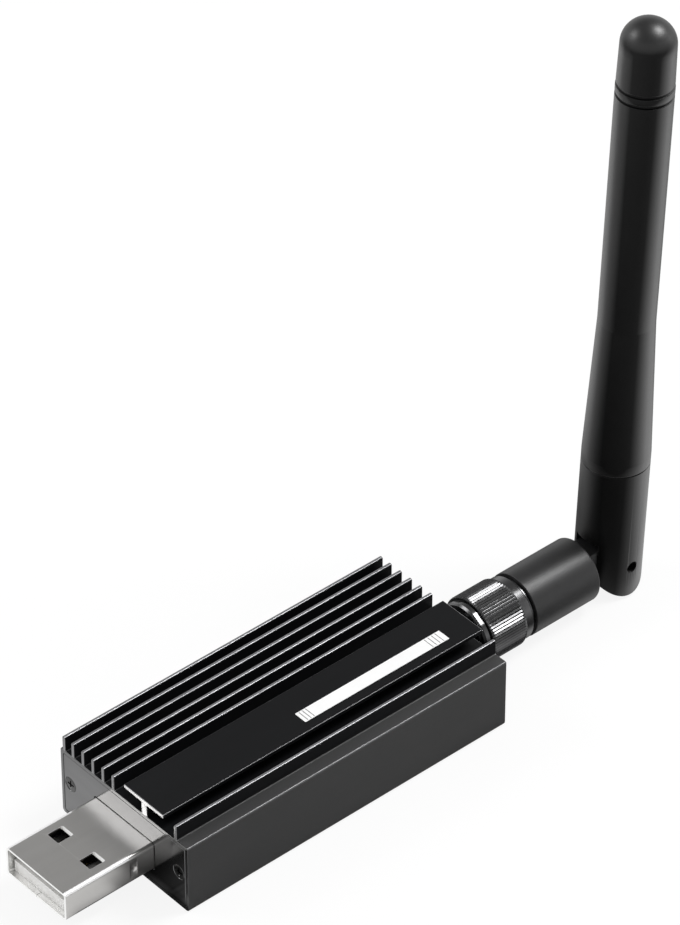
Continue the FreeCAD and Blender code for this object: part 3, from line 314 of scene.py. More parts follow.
def surface(name, dark, light, roughness, cloud, grain, depth, metallic, specular=0.5, stretch=(1, 1, 1),
            edge_wear_and_sheen=None, speck=None):
    """A finish with clouded colour, a grain in its gloss and relief, specks, and edges lightened by wear and
    by a painted highlight
    """
    finish = bpy.data.materials.new(name)
    finish.use_nodes = True
    clouds = spread(pattern(finish, cloud, stretch), 0, 1)
    grains = pattern(finish, grain, stretch, 2.0)
    sockets = shader(finish)
    feed(sockets["Metallic"], metallic)
    feed(sockets["Specular IOR Level"], specular)
    feed(sockets["Base Color"], blend(clouds, tint(dark), tint(light)))
    feed(sockets["Roughness"], spread(grains, *roughness))
    if speck:
        size, tone, share = speck
        repaint(finish, spread(pattern(finish, size, detail=1.0), 0, share, 0.6, 0.72), tone)
    # Lighter edges: partly worn edges, partly a painted edge highlight.
    if edge_wear_and_sheen:
        radius, tone, share = edge_wear_and_sheen
        repaint(finish, worn_and_sheen_share(finish, radius, spread(grains, 0.6 * share, share)), tone)
    relief(finish, grains, depth)
    return finish


def make_finishes():
    """Every finish of the stick, by its name"""
    made = {name: surface(name, *look, **more) for name, (*look, more) in FINISHES.items()}
    lay_tracks(made["board_laminate"])
    rubber = made["antenna_rubber"]
    height = reach(places(rubber), UP)
    gloss_at_edges(rubber, spread(height, *DOME_FACING), spread(height, *DOME_GRAZING))
    gloss_at_edges(made["stick_foot_plastic"], FACING_GLOSS, GRAZING_GLOSS)
    # Painted shade deep inside the plug, on the tongue and its contacts.
    for name in ("plug_plastic", "contact_gold"):
        paint_deep_shade(made[name], 3.0)
    return made


def lay_tracks(finish):
    """Copper tracks that stand up a little under the board's green lacquer"""
    tracks = node(finish, "TexVoronoi", distance="MANHATTAN", feature="DISTANCE_TO_EDGE",
                  Vector=places(finish), Scale=420.0)
    on_track = spread(tracks["Distance"], 1, 0, 0.05, 0.08)
    repaint(finish, on_track, (0.03, 0.19, 0.08))
    relief(finish, on_track, 0.03)


def rounded(corners, step=22.5):
    """Points of a closed outline; a corner (u, v, radius) is rounded with short chords"""
    points = []
    for number, corner in enumerate(corners):
        here = Vector(corner[:2])
        if len(corner) < 3:
            points.append(here)
            continue
        radius = corner[2]
        to_last = (Vector(corners[number - 1][:2]) - here).normalized()
        to_next = (Vector(corners[(number + 1) % len(corners)][:2]) - here).normalized()
        half = to_last.angle(to_next) / 2
        centre = here + (to_last + to_next).normalized() * radius / math.sin(half)
        first, last = [here + way * radius / math.tan(half) - centre for way in (to_last, to_next)]
        turn = math.atan2(first.x * last.y - first.y * last.x, first.dot(last))
        chords = max(2, round(abs(math.degrees(turn)) / step))
        points += [centre + Matrix.Rotation(turn * chord / chords, 2) @ first for chord in range(chords + 1)]
    return points


def inset(points, distance):
    """An outline drawn in by a distance; a negative one draws it out"""
    area = sum(a.x * b.y - a.y * b.x for a, b in zip(points, points[1:] + points[:1]))
    side = distance if area > 0 else -distance
    moved = []
    for number, here in enumerate(points):
        before = (here - points[number - 1]).normalized()
        after = (points[(number + 1) % len(points)] - here).normalized()
        normals = Vector((-before.y, before.x)) + Vector((-after.y, after.x))
        moved.append(here + normals * side / (1 + before.dot(after)))
    return moved


def rectangle(low_u, high_u, low_v, high_v, radius):
    """A rectangle with round corners"""
    corners = ((low_u, low_v), (high_u, low_v), (high_u, high_v), (low_u, high_v))
    return rounded([(*corner, radius) for corner in corners])


def circle(u, v, radius, count=32):
    """Points of a circle"""
    turns = [2 * math.pi * number / count for number in range(count)]
    return [Vector((u + radius * math.cos(turn), v + radius * math.sin(turn))) for turn in turns]


def cross(reach_out, half):
    """The outline of a cross"""
    quarter = [Vector(corner) for corner in ((half, half), (half, reach_out), (-half, reach_out))]
    return [Matrix.Rotation(math.pi / 2 * turn, 2) @ corner for turn in range(4) for corner in quarter]


def loop_at(mesh, points, level, axis=0):
    """A closed ring of vertices at a level of the X, Y or Z axis: 0, 1 or 2"""
    return [mesh.verts.new((*point[:axis], level, *point[axis:])) for point in points]


def rings(mesh, rows, start=0, way=1, axis=0):
    """Rings from rows of a depth and an outline; depths count from a start, one way or the other"""
    return [loop_at(mesh, points, start + way * depth, axis) for depth, points in rows]


def skin(mesh, loops):
    """Faces between loops of equal length, one after another"""
    for lower, upper in zip(loops, loops[1:]):
        for number in range(len(lower)):
            after = (number + 1) % len(lower)
            corners = dict.fromkeys((lower[number], lower[after], upper[after], upper[number]))
            if len(corners) > 2:
                mesh.faces.new(corners)


def cap(mesh, loops):
    """Close a flat face whose first loop is its outline and whose other loops are holes"""
    edges = []
    for loop in loops:
        for pair in zip(loop, loop[1:] + loop[:1]):
            edges.append(mesh.edges.get(pair) or mesh.edges.new(pair))
    bmesh.ops.triangle_fill(mesh, use_beauty=True, edges=edges)


def solid(mesh, *walls):
    """A closed body from the rings of its outside and of each hole through it"""
    for loops in walls:
        skin(mesh, loops)
    for end in (0, -1):
        cap(mesh, [loops[end] for loops in walls])


def revolve(mesh, profile, segments=96):
    """Turn a closed profile of points (level, radius) about the Z axis"""
    loops = []
    for level, radius in profile:
        if radius < 1e-6:
            loops.append([mesh.verts.new((0, 0, level))] * segments)
        else:
            loops.append(loop_at(mesh, circle(0, 0, radius, segments), level, axis=2))
    skin(mesh, loops + loops[:1])


def block(mesh, low, high, edge):
    """A box between two corners, with bevelled edges"""
    low, high = Vector(low), Vector(high)
    matrix = Matrix.Translation((low + high) / 2) @ Matrix.Diagonal((*(high - low), 1))
    made = bmesh.ops.create_cube(mesh, size=1, matrix=matrix)
    edges = list(dict.fromkeys(line for vertex in made["verts"] for line in vertex.link_edges))
    bmesh.ops.bevel(mesh, geom=edges, offset=edge, segments=2, profile=0.5, affect="EDGES")


def as_object(name, mesh, finishes):
    """An object that takes over mesh work and its finishes"""
    data = bpy.data.meshes.new(name)
    mesh.to_mesh(data)
    mesh.free()
    for finish in finishes:
        data.materials.append(finish)
    return add_object(name, data)


def add_object(name, data):
    """A new object in the scene"""
    made = bpy.data.objects.new(name, data)
    bpy.context.collection.objects.link(made)
    return made


def make_piece(name, mesh, finishes, place=Matrix.Identity(4)):
    """Turn mesh work in millimetres into an object in metres, its faces outwards"""
    bmesh.ops.remove_doubles(mesh, verts=mesh.verts, dist=1e-4)
    bmesh.ops.recalc_face_normals(mesh, faces=mesh.faces)
    mesh.transform(Matrix.Scale(MM, 4) @ place)
    return as_object(name, mesh, finishes)


def turned_piece(name, finish, corners, segments=96, step=22.5):
    """A piece turned about the coaxial line, from corners (place, radius, rounding)"""
    mesh = bmesh.new()
    revolve(mesh, rounded(corners, step), segments)
    return make_piece(name, mesh, [finish], ALONG_X)


def flatten(piece):
    """Turn what the modifiers make into the piece's own plain mesh"""
    evaluated = piece.evaluated_get(bpy.context.evaluated_depsgraph_get())
    data = bpy.data.meshes.new_from_object(evaluated)
    piece.modifiers.clear()
    piece.data = data


def round_edges(piece, width, angle=40):
    """Bevel every edge sharper than an angle"""
    bevel = piece.modifiers.new("edge_rounding", "BEVEL")
    bevel.width = width * MM
    bevel.segments = 2
    bevel.limit_method = "ANGLE"
    bevel.angle_limit = math.radians(angle)
    flatten(piece)


def settle(piece, body, slot, *stands_for, angle=38):
    """Shade the piece evenly, and let it ride on its body in place of its frame nodes"""
    piece.data.shade_smooth()
    piece.data.set_sharp_from_angle(angle=math.radians(angle))
    piece.modifiers.new("even_shading", "WEIGHTED_NORMAL").keep_sharp = True
    flatten(piece)
    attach(piece, body)
    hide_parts(*stands_for)


def joined(name, pieces):
    """Several objects as one, with their materials kept"""
    mesh = bmesh.new()
    finishes = []
    for piece in pieces:
        old_faces = len(mesh.faces)
        mesh.from_mesh(piece.data)
        mesh.faces.ensure_lookup_table()
        for face in mesh.faces[old_faces:]:
            face.material_index += len(finishes)
        finishes += list(piece.data.materials)
        bpy.data.objects.remove(piece)
    return as_object(name, mesh, finishes)


def eased_copy(name, node_name, finish, width):
    """A copy of a frame node as clean faces with eased edges"""
    mesh = bmesh.new()
    mesh.from_mesh(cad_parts[node_name].data)
    mesh.transform(Matrix.Scale(1 / MM, 4))
    bmesh.ops.remove_doubles(mesh, verts=mesh.verts, dist=1e-3)
    bmesh.ops.dissolve_limit(mesh, angle_limit=math.radians(1), verts=mesh.verts, edges=mesh.edges)
    piece = make_piece(name, mesh, [finish])
    round_edges(piece, width)
    return piece


def new_tree(name, **inputs):
    """A Geometry Nodes tree with named inputs, _ for a space, and the sockets that give them"""
    tree = bpy.data.node_groups.new(name, "GeometryNodeTree")
    tree.interface.new_socket("Geometry", in_out="INPUT", socket_type="NodeSocketGeometry")
    for label, kind in inputs.items():
        tree.interface.new_socket(label.replace("_", " "), in_out="INPUT", socket_type=f"NodeSocket{kind}")
    tree.interface.new_socket("Geometry", in_out="OUTPUT", socket_type="NodeSocketGeometry")
    return tree, node(tree, "NodeGroupInput")


def finish_tree(tree, shape, finish):
    """End a tree in Realize Instances and Set Material"""
    real = node(tree, "GeometryNodeRealizeInstances", shape)["Geometry"]
    painted = node(tree, "GeometryNodeSetMaterial", Geometry=real, Material=finish)["Geometry"]
    node(tree, "NodeGroupOutput", painted)
    return tree


def copies_at(tree, given, place, turn=(0, 0, 0)):
    """Put as many copies of the given shape as are asked for at a place and turn of their own"""
    points = node(tree, "GeometryNodePoints", Count=given["Count"], Position=place)["Points"]
    copies = node(tree, "GeometryNodeInstanceOnPoints", points, Instance=given["Geometry"], Rotation=turn)
    return finish_tree(tree, copies["Instances"], given["Finish"])


def ring_tree():
    """Copies of a shape, turned evenly about an axis along X"""
    tree, given = new_tree("ring_of_copies", Count="Int", Axis_Height="Float", Finish="Material")
    index = node(tree, "GeometryNodeInputIndex")["Index"]
    angle = calculate("MULTIPLY", calculate("DIVIDE", index, given["Count"]), 2 * math.pi)
    centre = node(tree, "CombineXYZ", Z=given["Axis Height"])["Vector"]
    return copies_at(tree, given, centre, node(tree, "CombineXYZ", X=angle)["Vector"])


def row_tree():
    """Copies of a shape at equal steps along a line"""
    tree, given = new_tree("row_of_copies", Count="Int", Start="Vector", Step="Vector", Finish="Material")
    index = node(tree, "GeometryNodeInputIndex")["Index"]
    way = node(tree, "VectorMath", given["Step"], operation="SCALE", Scale=index)["Vector"]
    place = node(tree, "VectorMath", given["Start"], way, operation="ADD")["Vector"]
    return copies_at(tree, given, place)


def thread_tree():
    """A ridge wound round an axis along X"""
    tree, given = new_tree(
        "wound_thread", Turns="Float", Pitch="Float", Crest_Radius="Float", Ridge="Float", Start="Vector",
        Finish="Material")
    radius = calculate("SUBTRACT", given["Crest Radius"], given["Ridge"])
    height = calculate("MULTIPLY", given["Turns"], given["Pitch"])
    wire = node(tree, "GeometryNodeCurveSpiral", Resolution=48, Rotations=given["Turns"],
                Start_Radius=radius, End_Radius=radius, Height=height)["Curve"]
    section = node(tree, "GeometryNodeCurvePrimitiveCircle", Resolution=4, Radius=given["Ridge"])["Curve"]
    ridge = node(tree, "GeometryNodeCurveToMesh", Curve=wire, Profile_Curve=section, Fill_Caps=True)["Mesh"]
    laid = node(tree, "GeometryNodeTransform", Geometry=ridge, Translation=given["Start"],
                Rotation=(0, math.pi / 2, 0))
    return finish_tree(tree, laid["Geometry"], given["Finish"])


def repeat(piece, tree, **inputs):
    """Run a tree on a piece, with the tree's inputs by name, and keep what it makes as a plain mesh"""
    modifier = piece.modifiers.new(tree.name, "NODES")
    modifier.node_group = tree
    for item in tree.interface.items_tree:
        name = item.name.replace(" ", "_")
        if item.in_out == "INPUT" and name in inputs:
            modifier[item.identifier] = inputs[name]
    flatten(piece)
    return piece


def housing_outline():
    """The extrusion's outside: foot, shoulders, six fins, the T-shaped platform and the lone fin"""
    corners = [(-HALF_WIDTH, 0, 0.5), (HALF_WIDTH, 0, 0.5), (HALF_WIDTH, DECK, 0.25)]
    for low in FIN_SIDES:
        corners += fin_corners(low)
    for web, edge, order in ((WEB_LEFT, PLATFORM_LEFT, 1), (WEB_RIGHT, PLATFORM_RIGHT, -1)):
        corners += [(web, DECK, 0.15), (web, PLATFORM_UNDER, 0.12), (edge, PLATFORM_UNDER, 0.08),
                    (edge, PLATFORM_TOP, 0.12)][::order]
    corners += fin_corners(LONE_FIN_SIDE) + [(-HALF_WIDTH, DECK, 0.25)]
    return rounded(corners)


def fin_corners(low):
    """One fin, from its left foot over the crown to its right foot"""
    high = low + FIN_THICKNESS
    return [(high, DECK, 0.13), (high, FIN_TOP, 0.2), (low, FIN_TOP, 0.2), (low, DECK, 0.13)]


def hollow_outline():
    """The inside of the extrusion, with a rail and a board slot on each side"""
    wall, rail, slot = 11.65, 9.2, 9.8
    bottom, rail_low, slot_low, slot_high, rail_high, ceiling = 1.1, 2.4, 3.1, 4.8, 6.9, 9.9
    side = [(wall, bottom, 0.3), (wall, rail_low, 0.2), (rail, rail_low, 0.2), (rail, slot_low, 0.05),
            (slot, slot_low, 0.05), (slot, slot_high, 0.05), (rail, slot_high, 0.05), (rail, rail_high, 0.2),
            (wall, rail_high, 0.2), (wall, ceiling, 0.3)]
    return rounded(side + [(-y, z, radius) for y, z, radius in reversed(side)])


def make_housing(finishes):
    """The finned extrusion with eased saw cuts, recessed ends and screw channels"""
    mesh = bmesh.new()
    outline, hollow = housing_outline(), hollow_outline()
    stations = [(FRONT + deep, drawn) for deep, drawn in SAW_CUT]
    stations += [(REAR - deep, drawn) for deep, drawn in reversed(SAW_CUT)]
    outside = rings(mesh, [(x, inset(outline, drawn)) for x, drawn in stations])
    skin(mesh, outside)
    recess, ease = rectangle(RIM - HALF_WIDTH, HALF_WIDTH - RIM, RIM, DECK - RIM, 0.3), 0.04
    channels = [circle(side * SCREW_SIDE, SCREW_LEVEL, CHANNEL_RADIUS) for side in (1, -1)]
    through = []
    for end, inwards, edge_loop in ((FRONT, 1, outside[0]), (REAR, -1, outside[-1])):
        rows = [(0, inset(recess, -ease)), (ease, recess), (PLATE_THICKNESS, recess)]
        walls = rings(mesh, rows, end, inwards)
        skin(mesh, walls)
        cap(mesh, [edge_loop, walls[0]])
        inner = rings(mesh, [(PLATE_THICKNESS, points) for points in (hollow, *channels)], end, inwards)
        cap(mesh, [walls[-1], *inner])
        through.append(inner)
    for front_and_rear in zip(*through):
        skin(mesh, front_and_rear)
    bmesh.ops.recalc_face_normals(mesh, faces=mesh.faces)
    for face in mesh.faces:
        face.material_index = HOUSING_FINISHES.index(housing_finish(face.calc_center_median(), face.normal))
    piece = make_piece("housing", mesh, [finishes[name] for name in HOUSING_FINISHES])
    settle(piece, "stick_body", "anodised_housing", "housing_extrusion", angle=30)


def housing_finish(centre, normal):
    """Which finish a face of the extrusion has, by its centre and the way it faces; most are the anodising
    with painted light or painted highlights
    """
    if abs(centre.y) < HALF_WIDTH - RIM + 0.1 and RIM - 0.1 < centre.z < DECK - RIM + 0.1:
        return "anodised_housing"
    on_platform = PLATFORM_RIGHT - 0.1 < centre.y < PLATFORM_LEFT + 0.1
    if abs(normal.x) > 0.3 and centre.z < DECK:
        # End faces turned towards -Y take the side wall's tone, a painted shade against the brighter end
        # plate metal.
        return "anodised_side" if normal.y < -0.2 else "end_plate_metal"
    # Cut ends above the deck: lighter metal, a painted highlight.
    if abs(normal.x) > 0.3:
        return "milled_end" if on_platform else "fin_end"
    # Fin crowns: a painted highlight.
    if centre.z > FIN_TOP - 0.21 and not on_platform and normal.z > 0.6:
        return "bright_crown"
    # Platform and shoulder edges: a painted highlight.
    platform_edge = centre.z > PLATFORM_TOP - 0.14 and 0.2 < normal.z < 0.95
    shoulder = abs(centre.y) > HALF_WIDTH - 0.26 and centre.z > DECK - 0.26 and 0.1 < normal.z < 0.97
    if platform_edge or shoulder:
        return "dull_edge"
    # The shoulder beside the lone fin: a lighter tone, painted light.
    if centre.y < LONE_FIN_SIDE and abs(centre.z - DECK) < 0.2:
        return "shoulder_satin"
    # Side walls: a lighter tone, painted light.
    on_side = abs(normal.y) > 0.9 and abs(centre.y) > HALF_WIDTH - 0.1
    return "anodised_side" if on_side else "anodised_housing"


def make_end_plate(end, face_x, inwards, opening, finish):
    """A thin plate with eased edges, an opening and two countersinks"""
    mesh = bmesh.new()
    edge, ease = HALF_WIDTH - RIM - PLATE_GAP, 0.06
    blank = rectangle(-edge, edge, RIM + PLATE_GAP, DECK - RIM - PLATE_GAP, 0.3)
    walls = [[(0, inset(blank, ease)), (ease, blank), (PLATE_THICKNESS, blank)],
             [(0, inset(opening, -0.05)), (ease, opening), (PLATE_THICKNESS, opening)]]
    countersink = ((0, 1.14), (0.03, 1.11), (0.6, CHANNEL_RADIUS), (PLATE_THICKNESS, CHANNEL_RADIUS))
    walls += [[(depth, circle(side * SCREW_SIDE, SCREW_LEVEL, radius)) for depth, radius in countersink]
              for side in (1, -1)]
    solid(mesh, *[rings(mesh, rows, face_x, inwards) for rows in walls])
    piece = make_piece(f"{end}_plate", mesh, [finish])
    settle(piece, "stick_body", "end_plate_metal", f"{end}_end_plate", angle=30)


def make_screws(end, face_x, inwards, finish, tree):
    """Two countersunk screws with a cross recess and a plain shank"""
    mesh = bmesh.new()
    sunk, shank = 0.03, 0.68
    turned = ((sunk, 1.04), (0.06, 1.08), (0.62, shank), (5.7, shank), (6.0, 0.42))
    outside = rings(mesh, [(depth, circle(0, 0, radius, 48)) for depth, radius in turned], 0, inwards)
    mouth, bottom = cross(reach_out=0.62, half=0.14), cross(reach_out=0.3, half=0.1)
    recess = rings(mesh, [(sunk, mouth), (0.6, bottom)], 0, inwards)
    for loops in (outside, recess):
        skin(mesh, loops)
    for loops in ([outside[0], recess[0]], recess[1:], outside[-1:]):
        cap(mesh, loops)
    piece = make_piece(f"{end}_screws", mesh, [finish])
    repeat(piece, tree, Count=2, Start=(face_x * MM, SCREW_SIDE * MM, SCREW_LEVEL * MM),
           Step=(0, -2 * SCREW_SIDE * MM, 0), Finish=finish)
    settle(piece, "stick_body", "black_screw_steel", f"{end}_plate_screws")


def make_usb_shell(finishes):
    """The plug's shell, folded from one sheet that meets in a seam underneath"""
    mesh = bmesh.new()
    half, radius, seam = PLUG_HALF_WIDTH, PLUG_RADIUS, 0.03
    outline = rounded([(seam, PLUG_LOW), (half, PLUG_LOW, radius), (half, PLUG_HIGH, radius),
                       (-half, PLUG_HIGH, radius), (-half, PLUG_LOW, radius), (-seam, PLUG_LOW)])
    stations = [PLUG_TIP, PANEL_FROM, PANEL_TO, DIMPLE_FROM, DIMPLE_TO, PLUG_BACK]
    loops = rings(mesh, [(x, outline) for x in stations])
    for start, lower, upper in zip(stations, loops, loops[1:]):
        for number, (here, after) in enumerate(zip(outline, outline[1:])):
            corners = [lower[number], lower[number + 1], upper[number + 1], upper[number]]
            if start == PANEL_FROM and abs(after.x - here.x) > 3:
                cap(mesh, [corners, *window_loops(mesh, here, after)])
            elif start == DIMPLE_FROM and abs(after.y - here.y) > 2:
                cap(mesh, [corners, dimple(mesh, here.x)])
            else:
                mesh.faces.new(corners)
    piece = make_piece("usb_plug_shell", mesh, [finishes[name] for name in SHELL_FINISHES])
    sheet = piece.modifiers.new("sheet_thickness", "SOLIDIFY")
    sheet.thickness = PLUG_WALL * MM
    sheet.offset = -1
    flatten(piece)
    slope_window_edges(piece)
    round_edges(piece, 0.07, 55)
    for face in piece.data.polygons:
        face.material_index = SHELL_FINISHES.index(shell_finish(face.center / MM, face.normal))
    wings, wing_level, wing_length, wing_reach = bmesh.new(), 4.7, 2, 1.2
    for side in (1, -1):
        low, high = sorted((side * (half - PLUG_WALL), side * (half + wing_reach)))
        block(wings, (PLUG_BACK - wing_length, low, wing_level),
              (PLUG_BACK, high, wing_level + PLUG_WALL), 0.05)
    solder_wings = make_piece("solder_wings", wings, [finishes["nickel_plate"]])
    settle(joined("usb_plug_shell", [piece, solder_wings]), "stick_body", "nickel_plate", "usb_shell")


def shell_finish(centre, normal):
    """Which finish a face of the plug's shell has, by its centre and the way it faces; the mouth, folds and
    window walls get painted highlights
    """
    inside = abs(centre.y) < PLUG_HALF_WIDTH - 0.2 and PLUG_LOW + 0.2 < centre.z < PLUG_HIGH - 0.2
    # The lip and the inside of the mouth: a painted highlight.
    if centre.x < PLUG_TIP + 0.08 or inside and centre.x < PANEL_FROM:
        return "mouth_lip"
    # The walls of the latch windows: a painted highlight.
    if normal.x < -0.4 and PANEL_FROM < centre.x < PANEL_TO:
        return "mouth_lip" if normal.z > 0.3 else "window_edge"
    # The folds in front of the dimples: a painted highlight.
    folded = 0.3 < normal.z < 0.99 and abs(normal.y) > 0.1 and centre.x < DIMPLE_FROM
    return "folded_edge" if folded else "nickel_plate"


def slope_window_edges(piece):
    """Let the far edge of each latch window slope down, as its punch leaves it"""
    slope = 0.28
    for vertex in piece.data.vertices:
        along, _, level = vertex.co / MM
        outside = min(abs(level - PLUG_LOW), abs(level - PLUG_HIGH)) < 0.01
        if outside and WINDOW_FAR - WINDOW_CORNER - 0.05 < along < WINDOW_FAR + 0.1:
            vertex.co.x += slope * MM


def window_loops(mesh, here, after):
    """The latch windows that lie in a flat between two edges of the shell"""
    low, high = sorted((here.x, after.x))
    loops = []
    for side in (WINDOW_SIDE, -WINDOW_SIDE):
        if low < side < high:
            window = rectangle(WINDOW_NEAR, WINDOW_FAR, side - WINDOW_HALF, side + WINDOW_HALF, WINDOW_CORNER)
            loops.append(loop_at(mesh, window, here.y, axis=2))
    return loops


def dimple(mesh, side):
    """A pressed bowl in the side of the shell; its rim is the loop that comes back"""
    bowl = ((0, 0.55), (0.05, 0.48), (0.12, 0.35), (0.165, 0.18))
    rows = [(depth, circle(DIMPLE_AT, PLUG_LEVEL, radius, 24)) for depth, radius in bowl]
    loops = rings(mesh, rows, side, -math.copysign(1, side), axis=1)
    skin(mesh, loops)
    cap(mesh, loops[-1:])
    return loops[0]


def make_plug_inside(finishes):
    """The tongue with its channels, and the four contact strips"""
    tongue = eased_copy("plug_tongue", "usb_insulator", finishes["plug_plastic"], 0.05)
    settle(tongue, "stick_body", "plug_plastic", "usb_insulator")
    strips = eased_copy("plug_contacts", "usb_contacts", finishes["contact_gold"], 0.03)
    settle(strips, "stick_body", "contact_gold", "usb_contacts")


def make_jack(finish, thread):
    """The jack's block and legs on the board, and its threaded barrel"""
    start, shoulder, shoulder_radius = 25.8, 27.9, 3.15
    barrel = turned_piece("jack_barrel", finish, [
        (start, LINE_BORE), (JACK_FACE, LINE_BORE, 0.05), (JACK_FACE, LINE_CORE, 0.2), (shoulder, LINE_CORE),
        (shoulder, shoulder_radius), (start, shoulder_radius)])
    cube = bmesh.new()
    bore, square, ease = circle(0, AXIS_HEIGHT, LINE_BORE, 48), rectangle(-3.2, 3.2, 1.9, 8.3, 0.15), 0.08
    rows = [(BLOCK_START, inset(square, ease)), (BLOCK_START + ease, square), (BLOCK_END - ease, square),
            (BLOCK_END, inset(square, ease))]
    solid(cube, rings(cube, rows), rings(cube, [(BLOCK_START, bore), (BLOCK_END, bore)]))
    leg_start, leg_end, leg_side, leg_half = 19.85, 23.4, 2.6, 0.5
    for side in (leg_side, -leg_side):
        for level in (4.7, 2.1):
            block(cube, (leg_start, side - leg_half, level), (leg_end, side + leg_half, level + 1), 0.06)
    body = make_piece("jack_block", cube, [finish])
    wire = make_piece("jack_thread", bmesh.new(), [finish])
    repeat(wire, thread, Turns=11.2, Pitch=0.7056 * MM, Crest_Radius=3.14 * MM, Ridge=0.36 * MM,
           Start=(27.95 * MM, 0, AXIS_HEIGHT * MM), Finish=finish)
    settle(joined("jack", [barrel, body, wire]), "stick_body", "black_nickel", "sma_jack_body")


def make_hexagon(name, finish, bore, flats, corner, chamfer, run, turn=0.0):
    """A hexagon on the coaxial line with a bore, its corners turned round and cut by a cone at each end"""
    mesh, outside = bmesh.new(), []
    start, end, cut = bore[0][0], bore[-1][0], corner - chamfer
    for level, limit in ((start, cut), (start + run, corner), (end - run, corner), (end, cut)):
        points = []
        for degrees in [2.5 * number for number in range(144)]:
            from_flat = math.radians((degrees + 30) % 60 - 30)
            radius = min(flats / 2 / math.cos(from_flat), limit)
            angle = math.radians(degrees + turn)
            points.append((-radius * math.sin(angle), radius * math.cos(angle)))
        outside.append(loop_at(mesh, points, level))
    solid(mesh, outside, rings(mesh, [(x, circle(0, 0, radius, 64)) for x, radius in bore]))
    return make_piece(name, mesh, [finish], ON_AXIS)


def make_washer_and_nut(finish, ring):
    """The toothed lock washer and the hexagon nut that hold the jack in the plate"""
    bore, rim, sunk = 3.27, 4.1, 0.12
    start, end = REAR + sunk, WASHER_END - sunk
    profile = [(start, bore), (end, bore), (end, rim, 0.1), (start, rim, 0.1)]
    disc = turned_piece("washer_disc", finish, profile)
    tooth, low, high, rise, thickness = bmesh.new(), 4.0, 4.66, 0.3, 0.28
    corners = [(REAR, -0.2, low), (REAR, -0.2, high), (REAR + rise, 0.5, high), (REAR + rise, 0.5, low)]
    solid(tooth, [[tooth.verts.new((x + behind, across, up)) for x, across, up in corners]
                  for behind in (0, thickness)])
    teeth = make_piece("washer_teeth", tooth, [finish])
    repeat(teeth, ring, Count=18, Axis_Height=AXIS_HEIGHT * MM, Finish=finish)
    settle(joined("lock_washer", [disc, teeth]), "stick_body", "black_nickel", "sma_lock_washer")

    flats, bore, mouth, ease = 8.0, 3.23, 3.42, 0.2
    rows = [(WASHER_END, mouth), (WASHER_END + ease, bore), (NUT_END - ease, bore), (NUT_END, mouth)]
    corner = flats / math.sqrt(3)
    piece = make_hexagon("jack_nut", finish, rows, flats=flats, corner=corner, chamfer=0.38, run=0.23)
    settle(piece, "stick_body", "black_nickel", "sma_hex_nut", angle=20)


def make_coupling(finish, ring):
    """The coupling nut: hexagon, knurled grip with cross cuts, and a polished collar"""
    end, ease = KNURL_START + 0.1, 0.2
    rows = [(COUPLING_START, THREAD_BORE + ease), (COUPLING_START + ease, THREAD_BORE), (end, THREAD_BORE)]
    hexagon = make_hexagon(
        "coupling_hexagon", finish, rows, flats=8.95, corner=4.57, chamfer=0.25, run=0.3, turn=31.0)

    root, collar, groove, thread_end, groove_start, groove_end = 4.8, 4.65, 3.53, 37.55, 37.99, 38.75
    grip = turned_piece("coupling_grip", finish, [
        (KNURL_START, THREAD_BORE), (thread_end, THREAD_BORE), (thread_end, COUPLING_THROAT),
        (groove_start, COUPLING_THROAT), (groove_start, groove), (groove_end, groove),
        (groove_end, COUPLING_THROAT), (COUPLING_END, COUPLING_THROAT, 0.06), (COUPLING_END, collar, 0.22),
        (KNURL_END + 0.12, collar, 0.06), (KNURL_END - 0.05, root), (KNURL_START, root, 0.1)], 144)

    rib, steps = bmesh.new(), 24
    start, length = KNURL_START + 0.02, KNURL_END - KNURL_START - 0.04
    rows = []
    for step in range(steps + 1):
        drop = 0.12 if step in (0, steps) else 0.012 * (1 - step % 2)
        rows.append((start + step * length / steps, rib_section(KNURL_CREST - drop)))
    solid(rib, rings(rib, rows))
    ribs = make_piece("coupling_ribs", rib, [finish])
    repeat(ribs, ring, Count=KNURL_RIBS, Axis_Height=AXIS_HEIGHT * MM, Finish=finish)
    whole = joined("coupling", [hexagon, grip, ribs])
    settle(whole, "coupling", "black_nickel", "coupling_nut", angle=22)


def rib_section(crest):
    """One section of a rib of the knurl, with a narrow land on its crest"""
    half, land, low = math.pi * KNURL_CREST / KNURL_RIBS, 0.012, KNURL_FOOT + 0.1
    return [(-half * 0.9, KNURL_FOOT), (half * 0.9, KNURL_FOOT), (half * 0.98, low), (land, crest),
            (-land, crest), (-half * 0.98, low)]


def make_antenna_plug(finish):
    """The turned body of the antenna's plug: insulator cup, neck ring, shank and catch"""
    face, cup_end, catch_start, end = JACK_FACE + 0.02, 39.825, 45.925, 46.725
    pin_bore, shank, catch, neck = 0.585, 2.5, 3.0, 4.2
    groove, groove_start, groove_end = 2.43, 38.05, 38.69
    piece = turned_piece("antenna_plug", finish, [
        (face, LINE_BORE), (cup_end, LINE_BORE), (cup_end, pin_bore), (end, pin_bore), (end, catch, 0.15),
        (catch_start, catch, 0.15), (catch_start, shank), (NECK_END, shank), (NECK_END, neck, 0.12),
        (NECK_START, neck, 0.12), (NECK_START, LINE_CORE), (groove_end, LINE_CORE), (groove_end, groove),
        (groove_start, groove), (groove_start, LINE_CORE), (face, LINE_CORE, 0.1)])
    settle(piece, "stick_body", "black_nickel", "antenna_plug_body")


